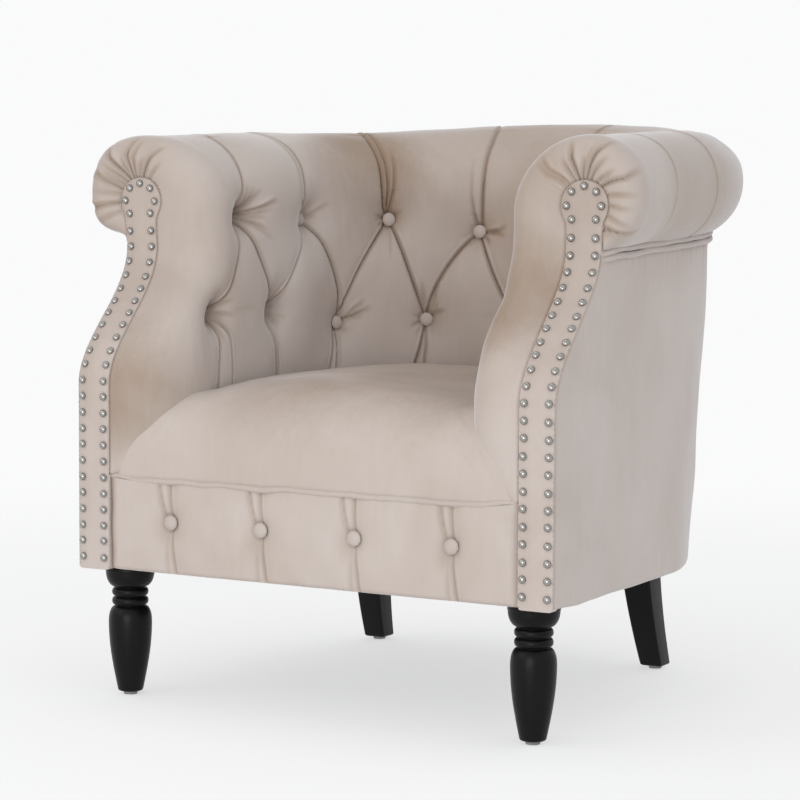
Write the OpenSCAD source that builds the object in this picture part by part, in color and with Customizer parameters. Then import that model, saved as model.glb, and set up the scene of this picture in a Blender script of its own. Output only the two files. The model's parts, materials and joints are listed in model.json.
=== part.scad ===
/* [Overall] */
// Width across the outsides of the rolled arms
chair_w = 744; // [690:1:800]
// Depth from the nail heads to the back of the roll
chair_d = 738; // [700:1:780]
// Height to the top of the roll at the middle of the back
chair_h = 721; // [690:1:760]

/* [Tub] */
// How far the roll stands out beyond the foot of each side
roll_out = 47; // [40:1:54]
// How far each side leans out from the bottom to the roll
side_flare = 5; // [0:0.5:9]
// Height of the underside of the upholstery above the floor
base_z = 162; // [140:1:180]
// Backward lean of the round back, as a share of its height
rake_share = 0.1; // [0.06:0.01:0.13]
// Rise of the roll towards the back, as a share of the depth
roll_rise_share = 0.043; // [0.02:0.001:0.06]
// Diameter of the roll
roll_d = 138; // [130:1:146]

/* [Arm front] */
// How far the top of the arm front stands back from its foot
set_back = 112; // [90:1:125]
// Height where the arm front starts to sweep back
sweep_low_z = 392; // [380:1:410]
// Height where the arm front is upright again
sweep_high_z = 566; // [550:1:570]
// Width of the nailed strip
strip_w = 43; // [41:0.5:46]
// Diameter of the strip's round head
head_d = 58; // [52:0.5:64]
// Height of the middle of the strip's head
head_z = 617; // [610:1:622]
// Thickness of the velvet strip
strip_t = 3; // [2:0.5:4]
// Thickness of the board behind the strip
board_t = 9; // [6:0.5:12]
// Thickness of the arm post
post_t = 26; // [20:1:27]
// Depth of the arm post, front to back
post_deep = 50; // [40:1:60]

/* [Nails and buttons] */
// Diameter of a nail head
nail_d = 10.5; // [8:0.5:12]
// Height of a nail head
nail_h = 4; // [2.5:0.5:5]
// Distance between nails
nail_pitch = 20; // [16:0.5:24]
// Distance from the strip's edge to the middle of its nails
nail_edge = 5.8; // [5.3:0.1:8]
// Diameter of a covered button
button_d = 19; // [15:0.5:23]
// Height of a covered button
button_h = 7; // [5:0.5:9]
// Distance between buttons round the tub
button_pitch = 133; // [125:1:140]
// Height of the upper row of buttons
upper_row_z = 590; // [575:1:600]
// Height of the lower row of buttons
lower_row_z = 468; // [455:1:480]
// Height of the row of buttons below the seat
apron_row_z = 226; // [215:1:235]

/* [Padding] */
// Thickness of the padded wall at its swell, from the cover to the inside
wall_t = 127; // [119:1:135]
// Depth of the tufts in the pads
tuft_deep = 27; // [18:1:32]
// Radius of the bends of the arm pad into its front
pad_corner = 80; // [60:1:95]
// Height of the foot of the pads
pad_low_z = 281; // [281:0.5:286]
// Height of the crown of the seat
seat_top_z = 411; // [400:1:425]
// Height of the seat where it meets the pads
seat_edge_z = 372; // [360:1:382]
// Thickness of the padding below the seat
apron_t = 11.5; // [8:0.5:14]
// Height of the top of the apron
apron_top_z = 270; // [262:1:272]
// Diameter of the seat welt
seat_welt_d = 10; // [7:0.5:12]
// Diameter of each cord of the double welt
welt_d = 7; // [5:0.5:8]

/* [Frame] */
// Thickness of the flat rails of the frame
rail_t = 18; // [15:0.5:21]
// Distance of the frame inside the outside of the cover
frame_inset = 7; // [6:0.5:11]
// Width of the base rail
rail_w = 60; // [54:1:68]
// Width of an upright
stud_w = 44; // [36:1:54]
// How far the top rail reaches in from the outside of the frame
top_in = 50; // [44:1:56]
// How far the top rail reaches out from the outside of the frame
top_out = 20; // [14:1:26]
// Thickness of the front rail
front_rail_t = 22; // [18:1:26]
// Height of the top of the front and rear seat rails
seat_rail_z = 250; // [246:1:251]
// Distance of the rear seat rail inside the back of the frame
seat_rail_in = 128; // [118:1:148]
// Number of seat springs
spring_count = 5; // [3:1:6]
// Thickness of the spring wire
spring_wire = 4; // [3:0.5:4.5]
// Width of a sinuous spring
spring_w = 48; // [40:1:60]

/* [Legs] */
// Distance of a front leg's middle inside the outside of the frame
leg_in = 35; // [32:1:39]
// Diameter of the top of a front leg
leg_top_d = 61.5; // [54:0.5:66]
// Diameter of the two rings
leg_ring_d = 45.5; // [40:0.5:50]
// Largest diameter of the vase below the rings
leg_vase_d = 54; // [48:0.5:58]
// Diameter of the foot of a front leg
leg_foot_d = 32; // [26:0.5:38]
// Distance of a rear leg's top inside the outside of the frame
rear_leg_in = 35.5; // [33:0.5:42]
// Angle of the rear legs round the back, from its middle
rear_leg_turn = 46; // [40:1:52]
// Thickness of a rear leg at its top
rear_leg_top = 42; // [36:0.5:48]
// Thickness of a rear leg at its foot
rear_leg_foot = 31; // [26:0.5:36]
// How far the rear leg's foot stands back from its top
rear_leg_sweep = 36; // [20:1:44]
// How far the rear leg's foot stands out from its top
rear_leg_splay = 9; // [0:1:14]
// Diameter of a glide
glide_d = 17; // [14:0.5:20]
// Thickness of a glide
glide_h = 4; // [3:0.5:6]
// Diameter of the leg bolts
bolt_d = 8; // [6:0.5:8]

/* [Hidden] */

// Clearances
clear = 0.3;
bore_clear = 0.4;
over = 1;
skin_clear = 0.5;

// Colours
velvet = [0.72, 0.66, 0.61];
velvet_dark = [0.66, 0.6, 0.55];
timber = [0.76, 0.6, 0.4];
ply = [0.82, 0.7, 0.5];
black_wood = [0.05, 0.045, 0.045];
foam_colour = [0.93, 0.88, 0.62];
nickel = [0.8, 0.8, 0.82];
steel = [0.5, 0.5, 0.52];
jute = [0.62, 0.5, 0.34];
grey_board = [0.6, 0.58, 0.55];
black_cloth = [0.08, 0.08, 0.08];
glide_grey = [0.45, 0.45, 0.45];

// Driving places of the tub
body_w = chair_w - 2 * roll_out;
pad_r = body_w / 2 - wall_t;
frame_out_r = body_w / 2 - frame_inset;
base_in_r = frame_out_r - rail_w;
top_in_r = frame_out_r - top_in;
top_out_r = frame_out_r + top_out;
leg_x = frame_out_r - leg_in;
seat_rail_back = frame_out_r - seat_rail_in;
roll_r = roll_d / 2;
roll_c = chair_w / 2 - roll_r;
tub_y = chair_d / 2 - chair_w / 2;
roll_z = chair_h - roll_r - roll_rise_share * roll_c;
front_y = -chair_d / 2;
rise_angle = atan(roll_rise_share);
rake_angle = atan(rake_share);
quarter = 90;

// The centre of the round back at a height, the rise of the roll at a depth, and the outside radius
function tub_mid(z) = tub_y - rake_share * (roll_z - z);
function rise(y) = roll_rise_share * (y - tub_y);
function cover_r(z) = body_w / 2 + side_flare * (z - base_z) / (roll_z - base_z);
function smooth(t) = let (c = max(0, min(1, t))) c * c * (3 - 2 * c);
function mix(a, b, t) = a + (b - a) * t;

// The front of the nailed strip at a height, and how steeply it leans there
function strip_y(z) = front_y + nail_h + clear + set_back * smooth((z - sweep_low_z) / sweep_h);
function lean(z) = (strip_y(z + lean_step) - strip_y(z - lean_step)) / (2 * lean_step);
sweep_h = sweep_high_z - sweep_low_z;
lean_step = 0.5;

// A point of the tub: u is 0 at the middle of the back, 1 where the round back meets an arm and 2 at
// the arm's front, r is the radius of the tub, and front is the line that the arm's front follows
function tub(u, r, z, front) =
    let (a = quarter * min(abs(u), 1), run = max(abs(u) - 1, 0), mid = tub_mid(z))
    [sign(u) * r * sin(a), mid + r * cos(a) + run * (front - mid), z];
function raised(p, share) = [p.x, p.y, p.z + rise(p.y) * share];

// A closed solid through rings of points: each ring runs along its outer line, then back on the inner
module skin(rings, outer_n) {
    n = len(rings[0]);
    m = len(rings);
    inner_n = n - outer_n;
    function facing(i) = n - 1 - floor(i * (inner_n - 1) / (outer_n - 1));
    function cap(k) = [for (i = [0:outer_n - 2])
        each concat([[k + i, k + i + 1, k + facing(i)]],
            facing(i) == facing(i + 1) ? [] : [[k + i + 1, k + facing(i + 1), k + facing(i)]])];
    function turned(faces) = [for (f = faces) [f[2], f[1], f[0]]];
    sides = [for (k = [0:m - 2], i = [0:n - 1])
        let (a = k * n + i, b = k * n + (i + 1) % n)
        each [[a, a + n, b], [b, a + n, b + n]]];
    polyhedron(points = [for (r = rings) each r],
        faces = concat(sides, cap(0), turned(cap((m - 1) * n))), convexity = 8);
}

// A wall of the tub between two radii, from u0 to u1, with its top cut to the slope of the roll
swept_levels = 14;
module wall(u0, u1, steps, in_r, out_r, low_z, high_z, front) {
    rows = steps > 1 ? 1 : swept_levels;
    levels = [for (i = [0:rows]) mix(low_z, high_z, i / rows)];
    function top_share(z) = (z - low_z) / (high_z - low_z);
    function at(u, r, z) = raised(tub(u, r(z), z, front(z)), top_share(z));
    rings = [for (k = [0:steps]) let (u = mix(u0, u1, k / steps))
        concat([for (z = levels) at(u, out_r, z)],
            [for (i = [rows:-1:0]) at(u, in_r, levels[i])])];
    skin(rings, rows + 1);
}
arc_steps = 36;
seam_u = 0.999;

module mirrored() {
    mirror([1, 0, 0])
        children();
}

// Frame
frame_z = base_z + strip_t;
base_top_z = frame_z + rail_t;
board_y = strip_t + clear;
post_y = board_y + board_t + clear;
strip_x = cover_r(sweep_low_z) + clear - strip_w / 2;
strip_in_x = strip_x - strip_w / 2;
liner_t = 2;
pad_back_r = strip_in_x - clear;
liner_in_r = strip_in_x + skin_clear;
apron_x = strip_in_x - clear;
frame_in_r = liner_in_r + liner_t + clear;
post_in_x = frame_out_r - post_t;
front_rail_x = base_in_r - clear;
front_rail_y = strip_y(frame_z) + strip_t + apron_t + clear;
base_front_y = front_rail_y;
top_rail_low = roll_z - rail_t - clear;
top_rail_high = top_rail_low + rail_t;
base_mid = tub_mid(frame_z);
rear_leg_x = (frame_out_r - rear_leg_in) * sin(rear_leg_turn);
rear_leg_y = base_mid + (frame_out_r - rear_leg_in) * cos(rear_leg_turn);

// The front rail stands between the two base rails
module front_rail() {
    color(timber)
        translate([-front_rail_x, front_rail_y, frame_z])
            cube([2 * front_rail_x, front_rail_t, seat_rail_z - frame_z]);
}

// Flat plywood rails at the bottom: two straight ones and a half ring, bored for the legs
module base_rail_arm() {
    color(ply)
        difference() {
            translate([base_in_r, base_front_y, frame_z])
                cube([frame_out_r - base_in_r, base_mid - base_front_y, rail_t]);
            tee_nut_bore(leg_x, leg_y);
        }
}
leg_y = front_rail_y + leg_top_d / 2;

module tee_nut_bore(x, y) {
    translate([x, y, frame_z - over])
        cylinder(h = rail_t + 2 * over, d = tee_barrel_d + bore_clear, $fn = 48);
}

module left_base_rail() {
    mirrored()
        base_rail_arm();
}

module right_base_rail() {
    base_rail_arm();
}

module back_base_rail() {
    color(ply)
        difference() {
            translate([0, base_mid + clear, frame_z])
                half_ring(base_in_r, frame_out_r - clear, rail_t);
            tee_nut_bore(rear_leg_x, rear_leg_y);
            tee_nut_bore(-rear_leg_x, rear_leg_y);
        }
}

module half_ring(in_r, out_r, h) {
    difference() {
        cylinder(h = h, r = out_r, $fn = 96);
        translate([0, 0, -over])
            cylinder(h = h + 2 * over, r = in_r, $fn = 96);
        translate([-out_r - over, -out_r - over, -over])
            cube([2 * (out_r + over), out_r + over, h + 2 * over]);
    }
}

// The rear ends of the springs hook on a board that stands across the half ring
seat_rail_y = base_mid + seat_rail_back;
seat_rail_t = 22;
seat_rail_x = sqrt(pow(frame_out_r - over, 2) - pow(seat_rail_back + seat_rail_t, 2)) - stud_w;
module rear_seat_rail() {
    color(timber)
        translate([-seat_rail_x, seat_rail_y, base_top_z])
            cube([2 * seat_rail_x, seat_rail_t, seat_rail_z - base_top_z]);
}

// Triangular blocks brace the front rail against the base rails
block_leg = 60;
block_h = 40;
module corner_blocks() {
    color(timber)
        for (side = [-1, 1])
            translate([side * front_rail_x, front_rail_y + front_rail_t, frame_z])
                linear_extrude(height = block_h)
                    polygon([[0, 0], [-side * block_leg, 0], [0, block_leg]]);
}

// The arm post is sawn to the sweep of the arm front
sweep_steps = 16;
function sweep_levels(low, high) = concat([low],
    [for (i = [0:sweep_steps]) mix(sweep_low_z, sweep_high_z, i / sweep_steps)], [high]);

module swept_board(x, w, in_y, deep, low, high) {
    levels = sweep_levels(low, high);
    translate([x, 0, 0])
        rotate([quarter, 0, quarter])
            linear_extrude(height = w)
                polygon(concat([for (z = levels) [strip_y(z) + in_y, z]],
                    [for (i = [len(levels) - 1:-1:0]) [strip_y(levels[i]) + in_y + deep, levels[i]]]));
}

// What stands below the sloping top rail ends at its underside
module below_top_rail() {
    difference() {
        children();
        sloped()
            translate([-chair_w, -chair_d, top_rail_low - clear - roll_z])
                cube([2 * chair_w, 2 * chair_d, chair_h]);
    }
}

// What leans back stands flat on the base rail
module above_base_rail() {
    difference() {
        children();
        translate([-chair_w, -chair_d, base_top_z + clear - chair_h])
            cube([2 * chair_w, 2 * chair_d, chair_h]);
    }
}

// Turns a level thing at the height of the roll to the roll's slope
module sloped() {
    translate([0, tub_mid(top_rail_low), roll_z])
        rotate([rise_angle, 0, 0])
            children();
}

module arm_post() {
    color(timber)
        below_top_rail()
            swept_board(post_in_x, post_t, post_y, post_deep, base_top_z, roll_z);
}

module left_arm_post() {
    mirrored()
        arm_post();
}

module right_arm_post() {
    arm_post();
}

// Uprights between the base rail and the top rail
stud_back = 1.7;
stud_t = frame_out_r - frame_in_r - 2 * stud_back - clear;
arm_stud_y = mix(base_mid, strip_y(sweep_high_z) + post_y + post_deep, 0.5) - stud_w / 2;

module arm_stud() {
    color(timber)
        below_top_rail()
            translate([frame_in_r + stud_back, arm_stud_y, base_top_z])
                cube([stud_t, stud_w, chair_h]);
}

module left_arm_stud() {
    mirrored()
        arm_stud();
}

module right_arm_stud() {
    arm_stud();
}

back_stud_angles = [-72, -26, 26, 72];
stud_r = frame_in_r + stud_back;
module back_studs() {
    color(timber)
        for (a = back_stud_angles)
            below_top_rail()
                above_base_rail()
                    translate([-stud_r * sin(a), tub_mid(base_top_z) + stud_r * cos(a), base_top_z])
                        rotate([-rake_angle, 0, 0])
                            rotate(a)
                                translate([-stud_w / 2, 0, -rail_t])
                                    cube([stud_w, stud_t, chair_h]);
}

// Flat plywood rails inside the roll
pad_end_wall = 8;
top_rail_front = strip_y(sweep_high_z) + post_y + pad_end_wall - tub_mid(top_rail_low);
module top_rail_arm() {
    color(ply)
        sloped()
            translate([top_in_r, top_rail_front, top_rail_low - roll_z])
                cube([top_out_r - top_in_r, -top_rail_front, rail_t]);
}

module left_top_rail() {
    mirrored()
        top_rail_arm();
}

module right_top_rail() {
    top_rail_arm();
}

module back_top_rail() {
    color(ply)
        sloped()
            translate([0, clear, top_rail_low - roll_z])
                half_ring(top_in_r, top_out_r, rail_t);
}

// Seat suspension
spring_z = seat_rail_z + spring_wire / 2 + clear;
spring_half_waves = 18;
spring_turn_steps = 4;
spring_end_y = seat_rail_y + seat_rail_t / 2;
spring_start_y = front_rail_y + front_rail_t / 2;
spring_gap = 2 * seat_rail_x / spring_count;
wire_sides = 6;

function wave(t) = max(-1, min(1, wave_flat * sin(t)));
wave_flat = 1.35;

module seat_springs() {
    color(steel)
        for (i = [0:spring_count - 1])
            translate([spring_gap * (i - (spring_count - 1) / 2), 0, spring_z])
                spring();
}

module spring() {
    n = spring_half_waves * spring_turn_steps;
    long = spring_end_y - spring_start_y;
    reach = (spring_w - spring_wire) / 2;
    function line(k) = [reach * wave(2 * quarter * k / spring_turn_steps),
        spring_start_y + long * k / n, 0];
    function heading(k) = let (a = line(max(k - 1, 0)), b = line(min(k + 1, n)))
        atan2(b.y - a.y, b.x - a.x);
    rings = [for (k = [0:n]) let (p = line(k), h = heading(k) - quarter)
        [for (s = [0:wire_sides - 1]) let (a = 4 * quarter * s / wire_sides, r = spring_wire / 2)
            p + [r * cos(a) * cos(h), r * cos(a) * sin(h), -r * sin(a)]]];
    skin(rings, wire_sides / 2 + 1);
}

clip_w = 14;
clip_h = 2;
module spring_clips() {
    color(steel)
        for (i = [0:spring_count - 1], y = [spring_start_y, spring_end_y])
            translate([spring_gap * (i - (spring_count - 1) / 2), y, spring_z + spring_wire / 2 + clear])
                translate([-clip_w / 2, -clip_w / 2, 0])
                    cube([clip_w, clip_w, clip_h]);
}

tie_share = [0.35, 0.65];
module spring_ties() {
    color(jute)
        for (s = tie_share)
            translate([-seat_rail_x, mix(spring_start_y, spring_end_y, s), spring_z + spring_wire + clear])
                rotate([0, quarter, 0])
                    cylinder(h = 2 * seat_rail_x, d = spring_wire, $fn = 24);
}

// Cloth and foam of the seat, shaped to the tub
module tub_slab(r, front, low_z, h) {
    translate([0, 0, low_z])
        linear_extrude(height = h)
            union() {
                translate([0, tub_mid(low_z)])
                    intersection() {
                        circle(r = r, $fn = 96);
                        translate([-r, 0])
                            square([2 * r, r]);
                    }
                translate([-r, front])
                    square([2 * r, tub_mid(low_z) - front]);
            }
}
deck_z = spring_z + 1.5 * spring_wire + 2 * clear;
deck_t = 2;
foam_r = pad_back_r;
foam_low_z = deck_z + deck_t + clear;
foam_front_y = front_rail_y;

module deck_cloth() {
    color(black_cloth)
        tub_slab(foam_r, foam_front_y, deck_z, deck_t);
}

module seat_foam() {
    color(foam_colour)
        tub_slab(foam_r, foam_front_y, foam_low_z, pad_low_z - clear - foam_low_z);
}

// Pads: the inside of the tub and the roll are one padded cover
roll_start = -60;
roll_end = 160;
roll_points = 11;
swell_top_z = 545;
swell_low_z = 400;
foot_r = 226;
roll_corner = 20;
roll_corner_reach = 30;
end_low_z = 540;
end_high_z = 562;
pad_edge = 2;
roll_dent = 9;
rail_gap = 1.8;

// Share of its depth by which a round corner falls away at a distance from its start
function corner(d, reach) = d >= reach ? 0 : 1 - sqrt(1 - pow(1 - d / reach, 2));

// The pads' line down the inside of the tub
roll_end_z = roll_z + roll_r * sin(roll_end);
roll_end_r = roll_c + roll_r * cos(roll_end);
function inside_r(z) = z > swell_top_z
    ? mix(pad_r, roll_end_r, smooth((z - swell_top_z) / (roll_end_z - swell_top_z)))
    : mix(pad_r, foot_r, smooth((swell_low_z - z) / (swell_low_z - pad_low_z)));

// Buttons: places round the tub in shares of the pitch, from the middle of the back
upper_shares = [0.5, 1.5, 2.65, 3.9];
lower_shares = [0, 1, 2.05, 3.2, 4.25];
button_r = pad_r + tuft_deep;
quarter_arc = button_r * PI / 2;
upper_places = [for (s = upper_shares) [s * button_pitch, upper_row_z]];
lower_places = [for (s = lower_shares) [s * button_pitch, lower_row_z]];
pleats = concat(
    [for (i = [0:len(upper_places) - 1]) [lower_places[i], upper_places[i]]],
    [for (i = [0:len(upper_places) - 1]) [upper_places[i], lower_places[i + 1]]],
    [for (p = upper_places) [p, [p.x, chair_h]]],
    [for (p = lower_places) [p, [p.x, pad_low_z]]]);

// Depth of the tufts at a place round the tub and a height, from 0 to 1
dimple_wide = 26;
dimple_flat = 0.7 * button_d;
crease_wide = 13;
crease_share = 0.45;
function dimple(d) = exp(-pow(max(0, d - dimple_flat) / dimple_wide, 2));
function crease(d) = crease_share * exp(-pow(d / crease_wide, 2));
function line_gap(p, a, b) = let (v = b - a, t = max(0, min(1, ((p - a) * v) / (v * v))))
    norm(p - a - v * t);
function tuft(s, z) = let (p = [abs(s), z])
    min(1, max(max([for (b = concat(upper_places, lower_places)) dimple(norm(p - b))]),
        max([for (l = pleats) crease(line_gap(p, l[0], l[1]))])));

// Distance round the tub at the buttons' radius
function along(u, y, z) = abs(u) <= 1 ? abs(u) * quarter_arc : quarter_arc + tub_mid(z) - y;

// A point of the pad at u; past 1, d is the distance behind the arm's front
function pad_front(z) = strip_y(z)
    + mix(strip_t, post_y + clear, smooth((z - end_low_z) / (end_high_z - end_low_z)));
function pad_point(u, d, r, z, share) =
    let (mid = tub_mid(z), y = mix(mid, pad_front(z) + d, abs(u) - 1))
    raised(abs(u) <= 1 ? tub(u, r, z, 0) : [sign(u) * r, y, z], share);
function rise_share(z) = smooth((z - swell_low_z) / (upper_row_z - swell_low_z));

// Heights of the pad's points below the roll: the two rows of buttons are among them
top_steps = 3;
row_steps = 4;
low_steps = 4;
inside_levels = concat(
    [for (i = [1:top_steps]) mix(roll_end_z, upper_row_z, i / top_steps)],
    [for (i = [1:row_steps]) mix(upper_row_z, lower_row_z, i / row_steps)],
    [for (i = [1:low_steps]) mix(lower_row_z, pad_low_z, i / low_steps)]);

// The roll's part of a ring: it starts at the double welt, where the arm's end is drawn in
roll_low_z = roll_z + roll_r * sin(roll_start);
outer_gap_r = cover_r(top_rail_low) + 2 * skin_clear;
function roll_point(u, d, i) =
    let (a = mix(roll_start, roll_end, i / roll_points),
        rr = roll_r - roll_corner * corner(d, roll_corner_reach),
        y = pad_point(u, d, roll_c, roll_z, 1).y, s = along(u, y, roll_z),
        dent = roll_dent * tuft(s, chair_h) * sin(min(quarter, a - roll_start)),
        foot = mix(roll_c + roll_r * cos(roll_start), outer_gap_r + pad_edge, corner(d, roll_corner_reach)))
    i == 0 ? [foot, roll_low_z]
        : [roll_c + (rr - dent) * cos(a), roll_z + (rr - dent) * sin(a)];

function front_r(z) = mix(pad_back_r - pad_edge, roll_front_r,
    smooth((z - upper_row_z) / (top_rail_low - upper_row_z)));
roll_front_r = roll_c + (roll_r - roll_corner) * cos(roll_end);
function inside_point(u, d, z) =
    let (y = pad_point(u, d, pad_r, z, 1).y, fall = corner(d, pad_corner),
        deep = tuft_deep * tuft(along(u, y, z), z) * (1 - fall))
    mix(inside_r(z) + deep, front_r(z), fall);

function pad_ring(u, d) = concat(
    [for (i = [0:roll_points]) let (p = roll_point(u, d, i)) pad_point(u, d, p[0], p[1], 1)],
    [for (z = inside_levels) pad_point(u, d, inside_point(u, d, z), z, rise_share(z))],
    [for (p = concat(pad_foot, pad_wall, pad_hollow)) pad_point(u, d, p[0], p[1], p[2])]);
pad_outer_n = roll_points + 1 + len(inside_levels);

// The pads' line round the frame, with a point for each of the outer line, so that their ends close
// cleanly: each point is a radius, a height and its share of the roll's slope
pad_foot = [[pad_back_r, pad_low_z, 0]];
pad_wall = [for (i = [len(inside_levels) - 2:-1:top_steps - 1])
    [pad_back_r, inside_levels[i], rise_share(inside_levels[i])]];
hollow_in_r = top_in_r - rail_gap;
hollow_out_r = top_out_r + rail_gap;
hollow_low_z = top_rail_low - skin_clear;
hollow_high_z = top_rail_high + skin_clear;
hollow_steps = 8;
hollow_drop = 3;
pad_hollow = concat(
    [for (r = [pad_back_r, hollow_in_r]) [r, hollow_low_z, 1]],
    [for (k = [0:hollow_steps]) [mix(hollow_in_r, hollow_out_r, k / hollow_steps), hollow_high_z, 1]],
    [[hollow_out_r, hollow_low_z, 1]],
    [for (z = [hollow_low_z - hollow_drop, roll_low_z]) [outer_gap_r, z, 1]]);

front_share = [0, 0.05, 0.15, 0.3, 0.55, 0.83];
arm_steps = 15;
module arm_pad() {
    reach = pad_corner * front_share[len(front_share) - 1];
    color(velvet)
        skin(concat([for (k = [0:arm_steps - 1]) pad_ring(mix(2 - seam_u, 2, k / arm_steps), reach)],
            [for (i = [len(front_share) - 1:-1:0]) pad_ring(2, front_share[i] * pad_corner)]),
            pad_outer_n);
}

module right_arm_pad() {
    arm_pad();
}

module left_arm_pad() {
    mirrored()
        arm_pad();
}

// The rings of the back pad stand at the buttons and in quarters between them
back_stops = concat([for (s = [0, 0.5, 1, 1.5, 2.05]) s * button_pitch / quarter_arc], [1]);
half_back = [for (i = [0:len(back_stops) - 2], k = [0:3]) mix(back_stops[i], back_stops[i + 1], k / 4)];
back_rings = concat([-1], [for (i = [len(half_back) - 1:-1:0]) -half_back[i]],
    [for (i = [1:len(half_back) - 1]) half_back[i]], [1]);
module back_pad() {
    color(velvet)
        skin([for (u = back_rings) pad_ring(u, chair_d)], pad_outer_n);
}

// A covered button or a nail: a dome on a flat back, looking along +Z
module dome(d, h) {
    ball = (pow(d / 2, 2) + pow(h, 2)) / (2 * h);
    rotate_extrude($fn = 48)
        intersection() {
            translate([0, h - ball])
                circle(r = ball, $fn = 96);
            square([d / 2, h]);
        }
}

button_in = 3.4;
upper_tilt = 20;
module button_at(s, z, tilt) {
    angle = min(abs(s), quarter_arc) / button_r;
    run = max(abs(s) - quarter_arc, 0);
    r = inside_r(z) + tuft_deep - clear - button_in;
    deg = sign(s) * angle * 2 * quarter / PI;
    y = tub_mid(z) - run + r * cos(deg);
    translate([r * sin(deg), y, z + rise(y) * rise_share(z)])
        rotate([quarter - tilt, 0, -deg])
            dome(button_d, button_h);
}

module button_row(shares, z, tilt) {
    color(velvet_dark)
        for (s = shares, side = s == 0 ? [1] : [-1, 1])
            button_at(side * s * button_pitch, z, tilt);
}

module upper_buttons() {
    button_row(upper_shares, upper_row_z, upper_tilt);
}

module lower_buttons() {
    button_row(lower_shares, lower_row_z, 0);
}

// Seat: a crowned cushion drawn in at its foot, between the pads
seat_shares = [0, 0.12, 0.35, 0.6, 0.85, 1];
crown_shares = [0.95, 0.88, 0.76, 0.6, 0.42, 0.2];
crown_power = 3;
seat_bulge = 3;
seat_round = 36;
seat_back_steps = 3;
seat_clear = 2.2;
seat_arc_steps = 14;
seat_front_steps = 8;
seat_mid_front = 40;
seat_mid_y = tub_mid(seat_edge_z) - seat_mid_front;

function seat_front(t) =
    strip_y(pad_low_z) + strip_t - seat_bulge * sin(2 * quarter * t) + seat_round * pow(t, 4);
function seat_side(d, z) =
    mix(inside_r(z), pad_back_r - pad_edge, corner(max(d, 0), pad_corner)) - seat_clear;
seat_run = tub_mid(pad_low_z) - pad_front(pad_low_z);
last_share = front_share[len(front_share) - 1] * pad_corner / seat_run;
side_shares = concat([for (f = front_share) f * pad_corner / seat_run],
    [for (k = [1:seat_back_steps - 1]) mix(last_share, 1, k / seat_back_steps)]);
side_n = len(side_shares);
function seat_outline(t) =
    let (z = mix(pad_low_z, seat_edge_z, t), y0 = seat_front(t), mid = tub_mid(z),
        side = [for (g = side_shares) let (y = mix(y0, mid, g)) [seat_side(y - pad_front(z), z), y]],
        r = seat_side(chair_d, z),
        arc = [for (k = [0:seat_arc_steps]) let (a = mix(quarter, -quarter, k / seat_arc_steps))
            [r * sin(a), mid + r * cos(a)]],
        end_x = side[0].x)
    [for (p = concat(side, arc, [for (k = [side_n - 1:-1:0]) [-side[k].x, side[k].y]],
        [for (k = [1:seat_front_steps - 1]) [mix(-end_x, end_x, k / seat_front_steps), y0]]))
        [p.x, p.y, z]];
function crowned(outline, f) = [for (p = outline)
    [p.x * f, mix(seat_mid_y, p.y, f), mix(seat_top_z, seat_edge_z, pow(f, crown_power))]];

module mound(rings, foot, top) {
    n = len(rings[0]);
    m = len(rings);
    sides = [for (k = [0:m - 2], i = [0:n - 1])
        let (a = k * n + i, b = k * n + (i + 1) % n)
        each [[a, a + n, b], [b, a + n, b + n]]];
    polyhedron(points = concat([for (r = rings) each r], [foot, top]),
        faces = concat(sides, [for (i = [0:n - 1]) [i, (i + 1) % n, m * n]],
            [for (i = [0:n - 1]) [(m - 1) * n + (i + 1) % n, (m - 1) * n + i, m * n + 1]]), convexity = 4);
}

module seat_cushion() {
    levels = [for (t = seat_shares) seat_outline(t)];
    edge = levels[len(levels) - 1];
    color(velvet)
        mound(concat(levels, [for (f = crown_shares) crowned(edge, f)]),
            [0, seat_mid_y, pad_low_z], [0, seat_mid_y, seat_top_z]);
}

seat_welt_z = apron_top_z + clear + seat_welt_d / 2;
module seat_welt() {
    color(velvet_dark)
        translate([-apron_x, strip_y(apron_top_z) + strip_t + seat_welt_d / 2, seat_welt_z])
            rotate([0, quarter, 0])
                cylinder(h = 2 * apron_x, d = seat_welt_d, $fn = 48);
}

// Apron: the padded front below the seat, with its own row of buttons and pleats
apron_button_shares = [-1.5, -0.5, 0.5, 1.5];
apron_pitch = 130;
apron_low_z = base_z;
apron_dent = 9;
apron_puff = 3;
apron_pleat_wide = 8;
apron_steps = 36;
apron_levels = 9;
apron_back_y = front_rail_y - clear;

function apron_tuft(x, z) = max([for (s = apron_button_shares) let (dx = abs(x - s * apron_pitch))
    max(exp(-pow(max(0, norm([dx, z - apron_row_z]) - button_d / 2) / apron_dimple_wide, 2)),
        crease_share * exp(-pow(dx / apron_pleat_wide, 2)))]);
apron_dimple_wide = 14;
apron_button_out = 1.7;
function apron_y(x, z) = let (t = (z - apron_low_z) / (apron_top_z - apron_low_z))
    apron_back_y - apron_t - apron_puff * sin(2 * quarter * t) + apron_dent * apron_tuft(x, z);

module apron() {
    xs = [for (k = [0:apron_steps]) mix(apron_x, -apron_x, k / apron_steps)];
    zs = [for (k = [0:apron_levels]) mix(apron_low_z, apron_top_z, k / apron_levels)];
    color(velvet)
        skin([for (x = xs) concat([for (z = zs) [x, apron_y(x, z), z]],
            [[x, apron_back_y, apron_top_z], [x, apron_back_y, apron_low_z]])], len(zs));
}

module apron_buttons() {
    color(velvet_dark)
        for (x = apron_button_shares * apron_pitch)
            translate([x, apron_y(x, apron_row_z) - apron_button_out, apron_row_z])
                rotate([quarter, 0, 0])
                    dome(button_d, button_h);
}

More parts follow.
